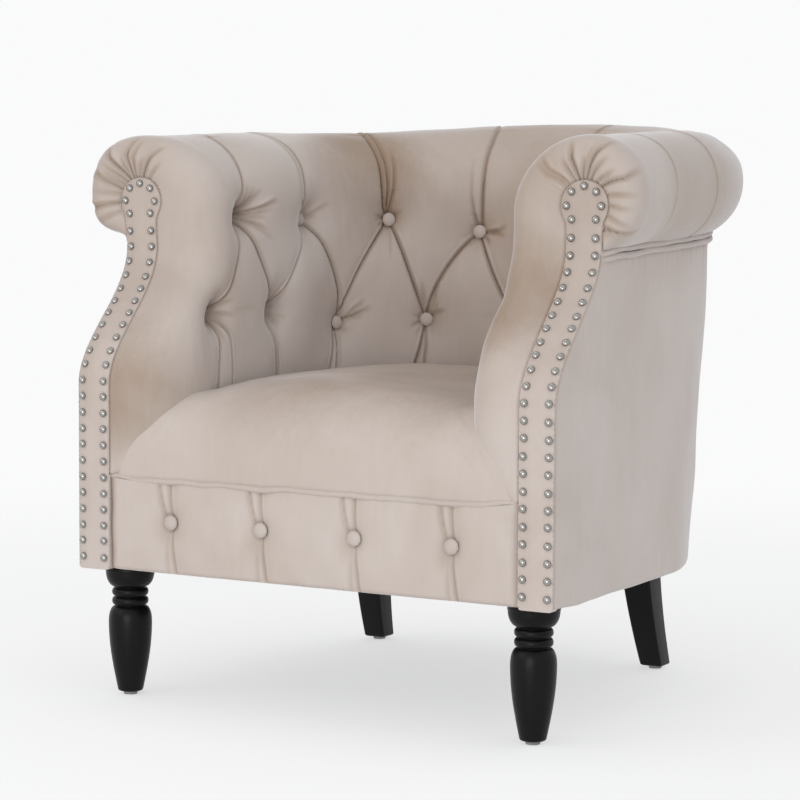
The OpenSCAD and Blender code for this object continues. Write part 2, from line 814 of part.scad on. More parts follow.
// Liners: jute webbing cloth behind the pads
function behind_board(z) = strip_y(z) + post_y;
module inside_liner(u0, u1, steps) {
    color(jute)
        wall(u0, u1, steps, function(z) liner_in_r, function(z) liner_in_r + liner_t,
            pad_low_z, top_rail_low - 2 * clear, function(z) behind_board(z));
}

module left_arm_liner() {
    inside_liner(-2, -1, 1);
}

module right_arm_liner() {
    inside_liner(1, 2, 1);
}

module back_liner() {
    inside_liner(-seam_u, seam_u, arc_steps);
}

// Cardboard over the outside of the frame, then the outside covers
board_in_r = frame_out_r + clear;
side_board_t = 2;
cover_in_r = board_in_r + side_board_t + clear;
cover_high_z = top_rail_low - 2 * clear;

module side_board(u0, u1, steps) {
    color(grey_board)
        wall(u0, u1, steps, function(z) board_in_r, function(z) board_in_r + side_board_t,
            frame_z, cover_high_z, function(z) behind_board(z));
}

module left_side_board() {
    side_board(-2, -1, 1);
}

module right_side_board() {
    side_board(1, 2, 1);
}

module back_board() {
    side_board(-seam_u, seam_u, arc_steps);
}

module outside_cover(u0, u1, steps) {
    color(velvet)
        wall(u0, u1, steps, function(z) cover_in_r, function(z) cover_r(z),
            base_z, cover_high_z, function(z) behind_board(z));
}

module left_side_cover() {
    outside_cover(-2, -1, 1);
}

module right_side_cover() {
    outside_cover(1, 2, 1);
}

module back_cover() {
    outside_cover(-seam_u, seam_u, arc_steps);
}

// Two cords side by side close the joint between the covers and the roll
welt_gap = 0.3;
welt_r = cover_r(roll_low_z) + skin_clear + welt_d / 2;
welt_front = behind_board(roll_low_z) - tub_y;
module double_welt() {
    color(velvet_dark)
        sloped()
            for (row = [0, 1])
                translate([0, 0, roll_low_z - roll_z - clear - welt_d / 2 - row * (welt_d + welt_gap)])
                    welt_cord();
}

module welt_cord() {
    rotate_extrude(angle = 2 * quarter, $fn = 96)
        translate([welt_r, 0])
            circle(d = welt_d, $fn = 32);
    for (side = [-1, 1])
        translate([side * welt_r, welt_front, 0])
            rotate([-quarter, 0, 0])
                cylinder(h = -welt_front, d = welt_d, $fn = 32);
}

// The nailed strip and its board, each swept with a round head on top
module swept_strip(in_y, t, low) {
    swept_board(strip_in_x, strip_w, in_y, t, low, head_z);
    translate([strip_x, strip_y(head_z) + in_y + t, head_z])
        rotate([quarter, 0, 0])
            cylinder(h = t, d = head_d, $fn = 64);
}

module strip() {
    color(velvet)
        swept_strip(0, strip_t, base_z);
}

module strip_board() {
    color(ply)
        swept_strip(board_y, board_t, frame_z);
}

module left_strip() {
    mirrored()
        strip();
}

module right_strip() {
    strip();
}

module left_strip_board() {
    mirrored()
        strip_board();
}

module right_strip_board() {
    strip_board();
}

// Nails: a column up each edge of the strip, then round its head
first_nail = 15;
nail_reach = strip_w / 2 - nail_edge;
head_reach = head_d / 2 - nail_edge;
head_join_z = head_z - sqrt(pow(head_reach, 2) - pow(nail_reach, 2));
head_join_angle = -acos(nail_reach / head_reach);
head_nails = floor((quarter - head_join_angle) * PI / (2 * quarter) * head_reach / nail_pitch) + 1;
function nail_step(z) = nail_pitch / sqrt(1 + pow(lean(z + nail_pitch / 2), 2));
function nail_column(z) = z > head_join_z - nail_pitch / 2 ? [] : concat([z], nail_column(z + nail_step(z)));
column = nail_column(base_z + first_nail);

module nail(x, z) {
    translate([x, strip_y(z) - clear, z])
        rotate([quarter - atan(lean(z)), 0, 0])
            dome(nail_d, nail_h);
}

module nails() {
    color(nickel) {
        for (side = [-1, 1], z = column)
            nail(strip_x + side * nail_reach, z);
        for (side = [-1, 1], k = [0:head_nails - 1])
            let (a = mix(head_join_angle, quarter, k / head_nails))
            nail(strip_x + side * head_reach * cos(a), head_z + head_reach * sin(a));
        nail(strip_x, head_z + head_reach);
    }
}

module left_nails() {
    mirrored()
        nails();
}

module right_nails() {
    nails();
}

// Turned front leg: a bowl, two rings and a long vase
leg_low_z = glide_h + clear;
leg_top_z = frame_z - clear;
leg_bowl_low_share = 0.81;
leg_ring_shares = [0.775, 0.705];
leg_vase_top_share = 0.665;
leg_vase_wide_share = 0.56;
leg_neck_d = 38;
leg_ring_h = 10;
leg_points = 10;
function leg_z(share) = mix(leg_low_z, leg_top_z, share);
function bowl(t) = [leg_neck_d / 2 + (leg_top_d - leg_neck_d) / 2 * sqrt(1 - pow(1 - t, 2)),
    mix(leg_z(leg_bowl_low_share), leg_top_z - leg_band_h, t)];
leg_band_h = 8;
function shoulder(t) = [leg_neck_d / 2 + (leg_vase_d - leg_neck_d) / 2 * sin(quarter * (1 - t)),
    mix(leg_z(leg_vase_wide_share), leg_z(leg_vase_top_share), t)];
function vase(t) = [mix(leg_foot_d, leg_vase_d, sin(quarter * t)) / 2,
    mix(leg_low_z + leg_toe, leg_z(leg_vase_wide_share), t)];
leg_toe = 4;

module front_leg() {
    color(black_wood)
        translate([leg_x, leg_y, 0])
            difference() {
                rotate_extrude($fn = 96)
                    union() {
                        polygon(concat([[0, leg_top_z], [0, leg_low_z]],
                            [[leg_foot_d / 2 - leg_toe, leg_low_z]],
                            [for (i = [0:leg_points]) vase(i / leg_points)],
                            [for (i = [1:leg_points / 2]) shoulder(2 * i / leg_points)],
                            [for (i = [0:leg_points]) bowl(i / leg_points)],
                            [[leg_top_d / 2, leg_top_z]]));
                        for (s = leg_ring_shares)
                            translate([(leg_ring_d - leg_ring_h) / 2, leg_z(s)])
                                circle(d = leg_ring_h, $fn = 32);
                    }
                translate([0, 0, leg_top_z - bolt_in])
                    cylinder(h = bolt_in + over, d = bolt_d + bore_clear, $fn = 48);
            }
}
bolt_in = 36;

module left_front_leg() {
    mirrored()
        front_leg();
}

module right_front_leg() {
    front_leg();
}

// Sabre rear leg: sawn to a curve from the side and to a taper from the front
function sabre_y(t) = rear_leg_sweep * pow(1 - t, sabre_power);
function sabre_t(t) = mix(rear_leg_foot, rear_leg_top, t);
sabre_points = 10;
sabre_power = 1.7;
module rear_leg() {
    zs = [for (i = [0:sabre_points]) i / sabre_points];
    color(black_wood)
        difference() {
            intersection() {
                translate([rear_leg_x - rear_leg_top, rear_leg_y, 0])
                    rotate([quarter, 0, quarter])
                        linear_extrude(height = 2 * rear_leg_top)
                            polygon(concat([for (t = zs) [sabre_y(t) - sabre_t(t) / 2, leg_z(t)]],
                                [for (i = [sabre_points:-1:0]) let (t = zs[i])
                                    [sabre_y(t) + sabre_t(t) / 2, leg_z(t)]]));
                translate([rear_leg_x, rear_leg_y + 2 * rear_leg_top, 0])
                    rotate([quarter, 0, 0])
                        linear_extrude(height = 4 * rear_leg_top)
                            polygon([[rear_leg_splay - rear_leg_foot / 2, leg_low_z],
                                [rear_leg_splay + rear_leg_foot / 2, leg_low_z],
                                [rear_leg_top / 2, leg_top_z], [-rear_leg_top / 2, leg_top_z]]);
            }
            translate([rear_leg_x, rear_leg_y, leg_top_z - bolt_in])
                cylinder(h = bolt_in + over, d = bolt_d + bore_clear, $fn = 48);
        }
}

module left_rear_leg() {
    mirrored()
        rear_leg();
}

module right_rear_leg() {
    rear_leg();
}

// What stands at each leg: the places of the bolts and of the glides
leg_tops = [for (side = [-1, 1]) each [[side * leg_x, leg_y], [side * rear_leg_x, rear_leg_y]]];
glide_places = [for (side = [-1, 1]) each [[side * leg_x, leg_y],
    [side * (rear_leg_x + rear_leg_splay), rear_leg_y + rear_leg_sweep]]];

module glides() {
    color(glide_grey)
        for (p = glide_places)
            translate([p.x, p.y, 0])
                cylinder(h = glide_h, d = glide_d, $fn = 64);
}

tee_barrel_d = 11;
tee_flange_d = 17;
tee_flange_t = 1.6;
tee_barrel_h = 9;
tee_h = tee_barrel_h + tee_flange_t;
module tee_nuts() {
    color(steel)
        for (p = leg_tops)
            translate([p.x, p.y, base_top_z + clear])
                difference() {
                    union() {
                        cylinder(h = tee_flange_t, d = tee_flange_d, $fn = 48);
                        translate([0, 0, -tee_barrel_h])
                            cylinder(h = tee_barrel_h, d = tee_barrel_d, $fn = 48);
                    }
                    translate([0, 0, -tee_barrel_h - over])
                        cylinder(h = tee_h + 2 * over, d = bolt_d + bore_clear, $fn = 48);
                }
}

bolt_end = 5;
module leg_bolts() {
    color(steel)
        for (p = leg_tops)
            translate([p.x, p.y, leg_top_z - bolt_in + clear])
                cylinder(h = bolt_in + rail_t + bolt_end, d = bolt_d, $fn = 48);
}

// Thin black cloth closes the bottom, cut out round the legs and stapled to the rails
dust_t = 1.2;
dust_edge = 7;
dust_r = body_w / 2 - dust_edge;
leg_cut = 3;
dust_z = frame_z - clear - dust_t;
module dust_cover() {
    color(black_cloth)
        difference() {
            tub_slab(dust_r, apron_back_y, dust_z, dust_t);
            for (side = [-1, 1]) {
                translate([side * leg_x, leg_y, dust_z - over])
                    cylinder(h = dust_t + 2 * over, d = leg_top_d + leg_cut, $fn = 64);
                translate([side * rear_leg_x - (rear_leg_top + leg_cut) / 2,
                    rear_leg_y - (rear_leg_top + leg_cut) / 2, dust_z - over])
                    cube([rear_leg_top + leg_cut, rear_leg_top + leg_cut, dust_t + 2 * over]);
            }
        }
}

staple_w = 10;
staple_t = 0.8;
staple_in = 14;
staple_angles = [for (k = [-4:4]) k * 20];
staple_rows = 4;
function staple_share(k) = (k - 0.7) / staple_rows;
module staple() {
    translate([-staple_w / 2, -staple_t / 2, dust_z - clear - staple_t])
        cube([staple_w, staple_t, staple_t]);
}

module cover_staples() {
    color(steel) {
        for (a = staple_angles)
            translate([0, tub_mid(base_z), 0])
                rotate(a)
                    translate([0, dust_r - staple_in, 0])
                        staple();
        for (side = [-1, 1], k = [1:staple_rows])
            translate([side * (dust_r - staple_in), mix(tub_mid(base_z), apron_back_y, staple_share(k)), 0])
                rotate(quarter)
                    staple();
    }
}

front_rail();
left_base_rail();
right_base_rail();
back_base_rail();
rear_seat_rail();
corner_blocks();
left_arm_post();
right_arm_post();
left_arm_stud();
right_arm_stud();
back_studs();
left_top_rail();
right_top_rail();
back_top_rail();
seat_springs();
spring_clips();
spring_ties();
deck_cloth();
seat_foam();
seat_cushion();
seat_welt();
left_arm_liner();
right_arm_liner();
back_liner();
left_arm_pad();
right_arm_pad();
back_pad();
upper_buttons();
lower_buttons();
left_side_board();
right_side_board();
back_board();
left_side_cover();
right_side_cover();
back_cover();
double_welt();
left_strip_board();
right_strip_board();
left_strip();
right_strip();
left_nails();
right_nails();
apron();
apron_buttons();
left_front_leg();
right_front_leg();
left_rear_leg();
right_rear_leg();
glides();
leg_bolts();
tee_nuts();
dust_cover();
cover_staples();
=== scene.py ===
import bpy
import json
import math
import numpy as np
from mathutils import Matrix, Vector


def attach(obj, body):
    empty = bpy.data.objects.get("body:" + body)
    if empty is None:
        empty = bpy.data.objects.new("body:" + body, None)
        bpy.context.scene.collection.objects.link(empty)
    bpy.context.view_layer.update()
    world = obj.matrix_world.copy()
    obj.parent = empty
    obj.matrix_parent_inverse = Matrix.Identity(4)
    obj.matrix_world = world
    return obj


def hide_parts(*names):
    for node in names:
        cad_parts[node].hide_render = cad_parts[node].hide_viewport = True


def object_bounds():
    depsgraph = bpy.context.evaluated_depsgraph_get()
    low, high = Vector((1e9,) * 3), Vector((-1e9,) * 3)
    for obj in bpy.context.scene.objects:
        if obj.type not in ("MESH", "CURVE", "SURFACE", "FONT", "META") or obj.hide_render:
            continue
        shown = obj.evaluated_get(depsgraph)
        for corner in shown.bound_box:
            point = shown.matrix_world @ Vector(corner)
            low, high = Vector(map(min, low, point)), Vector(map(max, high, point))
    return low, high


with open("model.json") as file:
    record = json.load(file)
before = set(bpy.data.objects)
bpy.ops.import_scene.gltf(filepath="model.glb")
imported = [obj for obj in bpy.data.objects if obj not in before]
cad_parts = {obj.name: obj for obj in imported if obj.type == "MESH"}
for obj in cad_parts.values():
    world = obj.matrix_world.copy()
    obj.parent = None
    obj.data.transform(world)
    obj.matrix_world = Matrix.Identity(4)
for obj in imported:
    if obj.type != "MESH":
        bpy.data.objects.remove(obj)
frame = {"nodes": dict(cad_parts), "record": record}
cadLow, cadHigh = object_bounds()
mm = 0.001
print("frame loaded")

# The chair's main sizes, shared by all the upholstery
chair = {
    "rollR": 69 * mm,
    "risePerDepth": 0.043,      # the roll climbs towards the back
    "rake": 0.1,                # the tub leans back with height
    "innerR": 198 * mm,         # tub radius at the swell of the pads
    "fullness": 97 * mm,        # height of the round shoulder from the inside up to the roll's top
    "footZ": 281 * mm,
    "underZ": 162 * mm,
    "bodyHalf": 325 * mm,
    "flare": 5 * mm,
    "stripHalf": 21.5 * mm,
    "stripX": 306.2 * mm,
    "headR": 29 * mm,
    "headZ": 617 * mm,
    "setBack": 112 * mm,        # how far the arm's top stands behind its foot
    "sweepLow": 392 * mm,
    "sweepHigh": 566 * mm,
    "faceIn": 4.3 * mm,         # the plain face lies under the nail heads
}
halfWidth = (cadHigh.x - cadLow.x) / 2
halfDepth = (cadHigh.y - cadLow.y) / 2
rollR = chair["rollR"]
rollC = halfWidth - rollR
tubY = halfDepth - halfWidth
rollZ = cadHigh.z - rollR - chair["risePerDepth"] * rollC
faceY = -halfDepth + chair["faceIn"]
sides = (("left", -1), ("right", 1))


def ease(t):
    t = np.clip(t, 0, 1)
    return t * t * (3 - 2 * t)


def mix(a, b, t):
    return a + (b - a) * t


def ramp(value, start, length):
    # 0 at start, 1 a length further on
    return ease((value - start) / length)


def bell(x, wide):
    return np.exp(-(x / wide) ** 2)


def runAlong(points):
    return np.concatenate([[0], np.cumsum(np.linalg.norm(np.diff(points, axis=0), axis=1))])


def pointGrid(x, y, z):
    # points from rows, columns or single values
    return np.stack(np.broadcast_arrays(x, y, z), -1)


def tubMid(z):
    return tubY - chair["rake"] * (rollZ - z)


def climb(y):
    return chair["risePerDepth"] * (y - tubY)


def stripFace(z):
    return faceY + chair["setBack"] * ramp(z, chair["sweepLow"], chair["sweepHigh"] - chair["sweepLow"])


def coverR(z):
    return chair["bodyHalf"] + chair["flare"] * (z - chair["underZ"]) / (rollZ - chair["underZ"])


def waves(points, size, seed, count=26):
    # soft unevenness: a sum of waves in random directions, of about one size
    rng = np.random.default_rng(seed)
    total = np.zeros(points.shape[:-1])
    for _ in range(count):
        way = rng.normal(size=points.shape[-1])
        way *= 2 * math.pi / (size * rng.uniform(0.7, 1.8)) / np.linalg.norm(way)
        total += np.cos(points @ way + rng.uniform(0, 2 * math.pi))
    return total / math.sqrt(count)


# Mesh makers
def newPiece(name, points, faces, smooth=True):
    mesh = bpy.data.meshes.new(name)
    mesh.from_pydata([tuple(p) for p in points], [], faces)
    mesh.validate()
    mesh.polygons.foreach_set("use_smooth", [smooth] * len(mesh.polygons))
    mesh.update()
    piece = bpy.data.objects.new(name, mesh)
    bpy.context.scene.collection.objects.link(piece)
    return piece


def gridFaces(rows, cols, wrap=False, start=0):
    index = np.arange(rows * cols).reshape(rows, cols) + start
    if wrap:
        index = np.hstack([index, index[:, :1]])
    quads = np.stack([index[:-1, :-1], index[:-1, 1:], index[1:, 1:], index[1:, :-1]], -1)
    return quads.reshape(-1, 4).tolist()


def sheetPiece(name, grid):
    return newPiece(name, grid.reshape(-1, 3), gridFaces(*grid.shape[:2]))


def shellPiece(name, rings):
    # closed rings, one after another, with a flat lid at both ends
    rows, cols = rings.shape[:2]
    faces = gridFaces(rows, cols, wrap=True)
    faces.append(list(range(cols))[::-1])
    faces.append([(rows - 1) * cols + i for i in range(cols)])
    return newPiece(name, rings.reshape(-1, 3), faces)


def tubePiece(name, path, radii, steps=16):
    along = np.gradient(path, axis=0)
    along /= np.linalg.norm(along, axis=1)[:, None]
    side = np.cross(along, [0, 0, 1.0])
    side /= np.linalg.norm(side, axis=1)[:, None]
    up = np.cross(side, along)
    turn = np.linspace(0, 2 * math.pi, steps, endpoint=False)[:, None]
    rings = path[:, None] + radii[:, None, None] * (np.cos(turn) * side[:, None] + np.sin(turn) * up[:, None])
    return shellPiece(name, rings)


def lathePiece(name, profile, place, steps=72):
    # profile: radius and height from the foot up; place: the axis
    turn = np.linspace(0, 2 * math.pi, steps, endpoint=False)
    r, z = profile[:, :1], profile[:, 1:]
    return shellPiece(name, pointGrid(r * np.cos(turn), r * np.sin(turn), z) + np.array([*place, 0]))


def surfaceNormals(grid):
    down = np.gradient(grid, axis=0)
    across = np.gradient(grid, axis=1)
    normal = np.cross(down, across)
    return normal / np.maximum(np.linalg.norm(normal, axis=2, keepdims=True), 1e-12)


# Camera: the photograph's own place and angle
cameraAt = {
    "place": (1604.88 * mm, -2949.87 * mm, 649.23 * mm),
    "turn": 29.693,
    "tilt": 4.922,
    "roll": 0.295,
    "lens": 116.76,
    "sensor": 36,
}


def makeCamera():
    turn, tilt, roll = (math.radians(cameraAt[k]) for k in ("turn", "tilt", "roll"))
    ahead = Vector((-math.sin(turn) * math.cos(tilt), math.cos(turn) * math.cos(tilt), -math.sin(tilt)))
    right = ahead.cross(Vector((0, 0, 1))).normalized()
    up = right.cross(ahead)
    rolledRight = right * math.cos(roll) + up * math.sin(roll)
    rolledUp = up * math.cos(roll) - right * math.sin(roll)
    data = bpy.data.cameras.new("camera")
    data.lens, data.sensor_width, data.sensor_fit = cameraAt["lens"], cameraAt["sensor"], "HORIZONTAL"
    camera = bpy.data.objects.new("camera", data)
    bpy.context.scene.collection.objects.link(camera)
    matrix = Matrix((rolledRight, rolledUp, -ahead)).transposed().to_4x4()
    matrix.translation = Vector(cameraAt["place"])
    camera.matrix_world = matrix
    bpy.context.scene.camera = camera


makeCamera()


# The nailed strip's outline: up its outer edge, round the head and down its inner edge
def blur(values, rounds):
    values = np.array(values, float)
    for _ in range(rounds):
        values[1:-1] = (values[:-2] + 2 * values[1:-1] + values[2:]) / 4
    return values


def stripOutline(headSteps=90, sideSteps=160, neckRounds=14):
    neck = math.sqrt(chair["headR"] ** 2 - chair["stripHalf"] ** 2)
    join = math.atan2(-neck, chair["stripHalf"])
    turn = np.linspace(join, math.pi - join, headSteps)
    head = np.stack([chair["headR"] * np.cos(turn), chair["headZ"] + chair["headR"] * np.sin(turn)], 1)
    rise = np.linspace(chair["underZ"], chair["headZ"] - neck, sideSteps, endpoint=False)
    outer = np.stack([np.full(sideSteps, chair["stripHalf"]), rise], 1)
    inner = np.stack([np.full(sideSteps, -chair["stripHalf"]), rise[::-1]], 1)
    return blur(np.vstack([outer, head, inner]), neckRounds)


outline = stripOutline()
outlineRun = runAlong(outline)


def outlinePoint(run):
    return np.interp(run, outlineRun, outline[:, 0]), np.interp(run, outlineRun, outline[:, 1])


def outlineAt(z, inner):
    half = len(outline) // 2
    if inner:
        return np.interp(z, outline[:half - 1:-1, 1], outlineRun[:half - 1:-1])
    return np.interp(z, outline[:half, 1], outlineRun[:half])


# Tufting: buttons, the pleats between them and the fine gathers round them
tufting = {
    "buttonR": 9.5 * mm,
    # how far round the tub from its middle, and how high, the buttons of one side are, in mm
    "upper": ((69, 568), (202, 587), (362, 592), (514, 606)),
    "lower": ((0, 458), (139, 455), (279, 453), (435, 476), (578, 482)),
    # pleats by upper and lower button, with the power that bends them on their way down
    "pleats": ((0, 0, 0.7), (0, 1, 1.8), (1, 1, 1.0), (1, 2, 1.6), (2, 2, 2.0), (2, 3, 1.0), (3, 3, 1.0),
               (3, 4, 0.6)),
    "pitBack": 16 * mm,         # how deep a button is drawn in, at the back and on the arms
    "pitArm": 36 * mm,
    "pitWide": (29 * mm, 17 * mm),
    "armRamp": (230, 280),      # where the buttons go from the back's depth to the arms', in mm
    "rimHigh": 2.4 * mm,        # the cloth stands up a little round a button
    "rimWide": 2.4 * mm,
    "pitShadeMark": 0.55,         # how much of the material's painted hollow shade a pit takes
    "pleatDeep": 6.5 * mm,      # the soft valley along a pleat
    "pleatWide": 17 * mm,
    "foldDeep": 5.6 * mm,       # the sharp fold in the valley
    "foldWide": 1.2 * mm,
    "ribHigh": 1.35 * mm,       # and the rib beside it, then a lower one on the far side
    "ribAt": 3.4 * mm,
    "farRibAt": 7.2 * mm,
    "ribWide": 1.7 * mm,
    "farRib": 0.4,
    "foldEnd": 2.5 * mm,
    "snapReach": 1.6 * mm,
    # how far the painted shade of a crease reaches
    "shadeReach": 6 * mm,
    "gatherDeep": 2.4 * mm,
    "gatherWide": (1.3 * mm, 3.8 * mm),
    "gatherBow": 2.2 * mm,
    "gatherReach": (16, 34),
    # a broad fold that climbs between two buttons: heights, its run there, depth and width
    "broadAt": ((600, 640, 680, 720), (172, 172, 160, 138)),
    "broadFold": (1.1 * mm, 5 * mm),
}
# folds over the roll: button, shift at six heights above it, strength there, side of the rib
climbing = (
    (0, (-3, -3, -2, -4, -5, -6), (1.0, 0.95, 0.75, 0.6, 0.3, 0.1), 1),
    (0, (6, 13, 16, 18, 19, 20), (0.75, 0.25, 0.0, 0.0, 0.0, 0.0), -1),
    (1, (12, 17, 17, 15, 14, 14), (1.0, 1.0, 0.8, 0.55, 0.25, 0.12), -1),
    (1, (7, 8, 9, 9, 9, 9), (0.9, 0.8, 0.55, 0.3, 0.0, 0.0), 1),
    (1, (1, -2, -5, -7, -8, -8), (0.9, 0.55, 0.0, 0.0, 0.0, 0.0), 1),
    (2, (12, 16, 5, -1, -3, -4), (1.0, 1.0, 0.8, 0.6, 0.3, 0.14), 1),
    (2, (26, 27, 17, 8, 6, 4), (0.0, 0.4, 0.45, 0.15, 0.0, 0.0), 1),
    (3, (3, 1, -11, -24, -28, -30), (1.0, 0.9, 0.7, 0.5, 0.22, 0.06), 1),
)
climbSteps = (15, 48, 110, 175, 225, 330)
# folds down behind the seat: button, shift at three heights below it, strength, side of the rib
falling = (
    (0, (0, 5, 10), 0.7, 1), (0, (-2, -6, -9), 0.5, -1),
    (1, (2, 7, 21), 1.0, 1), (1, (1, -1, 3), 0.75, -1),
    (2, (9, 14, 28), 1.0, 1), (2, (3, 4, 12), 0.8, -1),
    (3, (7, 2, -4), 1.0, 1), (3, (1, -5, -10), 0.35, -1),
    (4, (-6, -11, -10), 1.0, 1), (4, (-16, -32, -40), 0.4, -1),
)
fallSteps = (10, 34, 80)
# gathers that fan out from a button: row, button, then the end of each line from it in mm and its strength
fans = (
    ("upper", 3, ((-21, 40, 1.3), (-34, 36, 1.0), (-68, 17, 1.4), (-56, 6, 0.9), (-45, -6, 0.8),
                 (-48, -26, 0.9), (-62, -40, 0.5), (-8, 44, 0.8))),
    ("upper", 0, ((-50, 8, 0.9), (-48, -7, 0.8), (30, -8, 0.3))),
    ("upper", 1, ((34, 8, 0.35), (0, -60, 0.4))),
    ("upper", 2, ((-44, 22, 0.4), (30, 34, 0.5))),
    ("lower", 2, ((-43, 30, 0.9), (-54, 19, 1.0), (-44, 6, 0.7), (-14, 52, 0.6))),
    ("lower", 1, ((-30, 13, 0.8), (14, 58, 0.6), (-13, 56, 0.7), (26, 10, 0.4))),
    ("lower", 3, ((-14, 42, 0.8), (-26, 40, 0.6), (22, 36, 0.6), (-30, -12, 0.4))),
    ("lower", 4, ((-40, -38, 0.8), (-26, -44, 0.7), (-44, -8, 0.6), (-40, 16, 0.6))),
    ("lower", 0, ((22, 44, 0.6), (-24, 42, 0.6), (34, 4, 0.4))),
)
innerEdgeX = chair["stripX"] - chair["stripHalf"]
buttonArcR = chair["innerR"] + 27 * mm
quarterArc = buttonArcR * math.pi / 2


def buttonPlaces(row):
    # both sides' buttons: run from the tub's middle, height, depth
    places = []
    for s, h in tufting[row]:
        deep = mix(tufting["pitBack"], tufting["pitArm"], ramp(s, *tufting["armRamp"]))
        places += [(side * s * mm, h * mm, float(deep)) for side in ((-1, 1) if s else (1,))]
    return places


def creaseLines():
    # each crease: heights going up, run at each, strength at each, side of its rib, valley depth at each
    lines = []
    upper, lower = tufting["upper"], tufting["lower"]
    t = np.linspace(0, 1, 40)
    for side in (-1, 1):
        jog = np.random.default_rng(17 + side)
        for u, low, bend in tufting["pleats"]:
            (su, hu), (sl, hl) = upper[u], lower[low]
            s = sl + (su - sl) * t ** bend + jog.normal(0, 1.2) * np.sin(math.pi * t)
            tilt = 1 if su < sl else -1
            valley = tufting["pleatDeep"] * (0.85 + 0.6 * np.abs(2 * t - 1) ** 3)
            lines.append((hl + (hu - hl) * t, side * s, np.ones(40), side * tilt, valley))
        for u, shifts, strengths, rib in climbing:
            su, hu = upper[u]
            at = np.array((2,) + climbSteps)
            h = np.linspace(2, climbSteps[-1] + 40, 90)
            s = su + np.interp(h, at, (0,) + shifts) + jog.normal(0, 1)
            power = np.interp(h, at, (0.9 * strengths[0],) + strengths)
            deep = np.interp(h, (0, 30, 90, 175, 260), (1.5, 1.0, 0.5, 0.2, 0.0)) * (power > 0.6)
            valley = tufting["pleatDeep"] * deep
            lines.append((hu + h, side * blur(s, 6), blur(power, 3), side * rib, valley))
        for low, shifts, power, rib in falling:
            sl, hl = lower[low]
            at = np.array((2,) + fallSteps)
            h = np.linspace(fallSteps[-1] + 70, 2, 60)
            s = sl + np.interp(h, at, (0,) + shifts)
            valley = tufting["pleatDeep"] * np.interp(h, (0, 30, 90), (1.4, 0.9, 0.6)) * (power > 0.9)
            lines.append((hl - h, side * blur(s, 5), np.full(60, power), side * rib, valley))
    return [(h * mm, s * mm, power, rib, valley) for h, s, power, rib, valley in lines]


def lineDistance(s, h, a, b, bow=0.0):
    ax, ay, bx, by = *a, *b
    length = math.hypot(bx - ax, by - ay)
    ux, uy = (bx - ax) / length, (by - ay) / length
    along = (s - ax) * ux + (h - ay) * uy
    across = (s - ax) * -uy + (h - ay) * ux
    share = np.clip(along / length, 0, 1)
    across = across - bow * np.sin(math.pi * share)
    past = np.maximum(along - length, 0) + np.maximum(-along, 0)
    return share, across, np.hypot(across, past)


def snapToCreases(s, h):
    # the nearest point of every row is drawn onto each crease, so that the fold is a clean edge
    moved = s.copy()
    rows = np.arange(len(s))
    for heights, run, power, rib, valley in creaseLines():
        height = h[:, 0]
        within = (height > heights[0]) & (height < heights[-1])
        target = np.interp(height, heights, run)
        strong = np.interp(height, heights, power) > 0.12
        nearest = np.argmin(np.abs(s - target[:, None]), axis=1)
        gap = np.abs(s[rows, nearest] - target)
        take = within & strong & (gap < tufting["snapReach"])
        moved[rows[take], nearest[take]] = target[take]
    return moved


def creaseShadeMark(near, strong):
    # painted shade: 1 in a crease and less away from it, for the dark line that the material draws there
    return np.clip(1 - near / tufting["shadeReach"], 0, 1) * np.clip(strong, 0, 1) ** 0.5


def paintShadeMarks(piece, shadeMarks):
    # the painted shade marks go onto the mesh as the crease attribute, which the material reads
    layer = piece.data.attributes.new("crease", "FLOAT", "POINT")
    layer.data.foreach_set("value", np.ascontiguousarray(shadeMarks, dtype=np.float32).reshape(-1))


def gatherRays():
    # short lines that fan out from each button: start, end, strength
    rng = np.random.default_rng(7)
    rays = []
    for row, index, ends in fans:
        x, z = tufting[row][index]
        for ds, dh, power in ends:
            for side in (-1, 1):
                rays.append(((side * x * mm, z * mm), (side * (x + ds) * mm, (z + dh) * mm), power))
    for x, z, deep in buttonPlaces("upper") + buttonPlaces("lower"):
        for turn in rng.uniform(0, 2 * math.pi, 7):
            reach = rng.uniform(*tufting["gatherReach"]) * mm
            end = (x + reach * math.cos(turn), z + reach * math.sin(turn))
            rays.append(((x, z), end, rng.uniform(0.3, 0.7)))
    return rays, rng


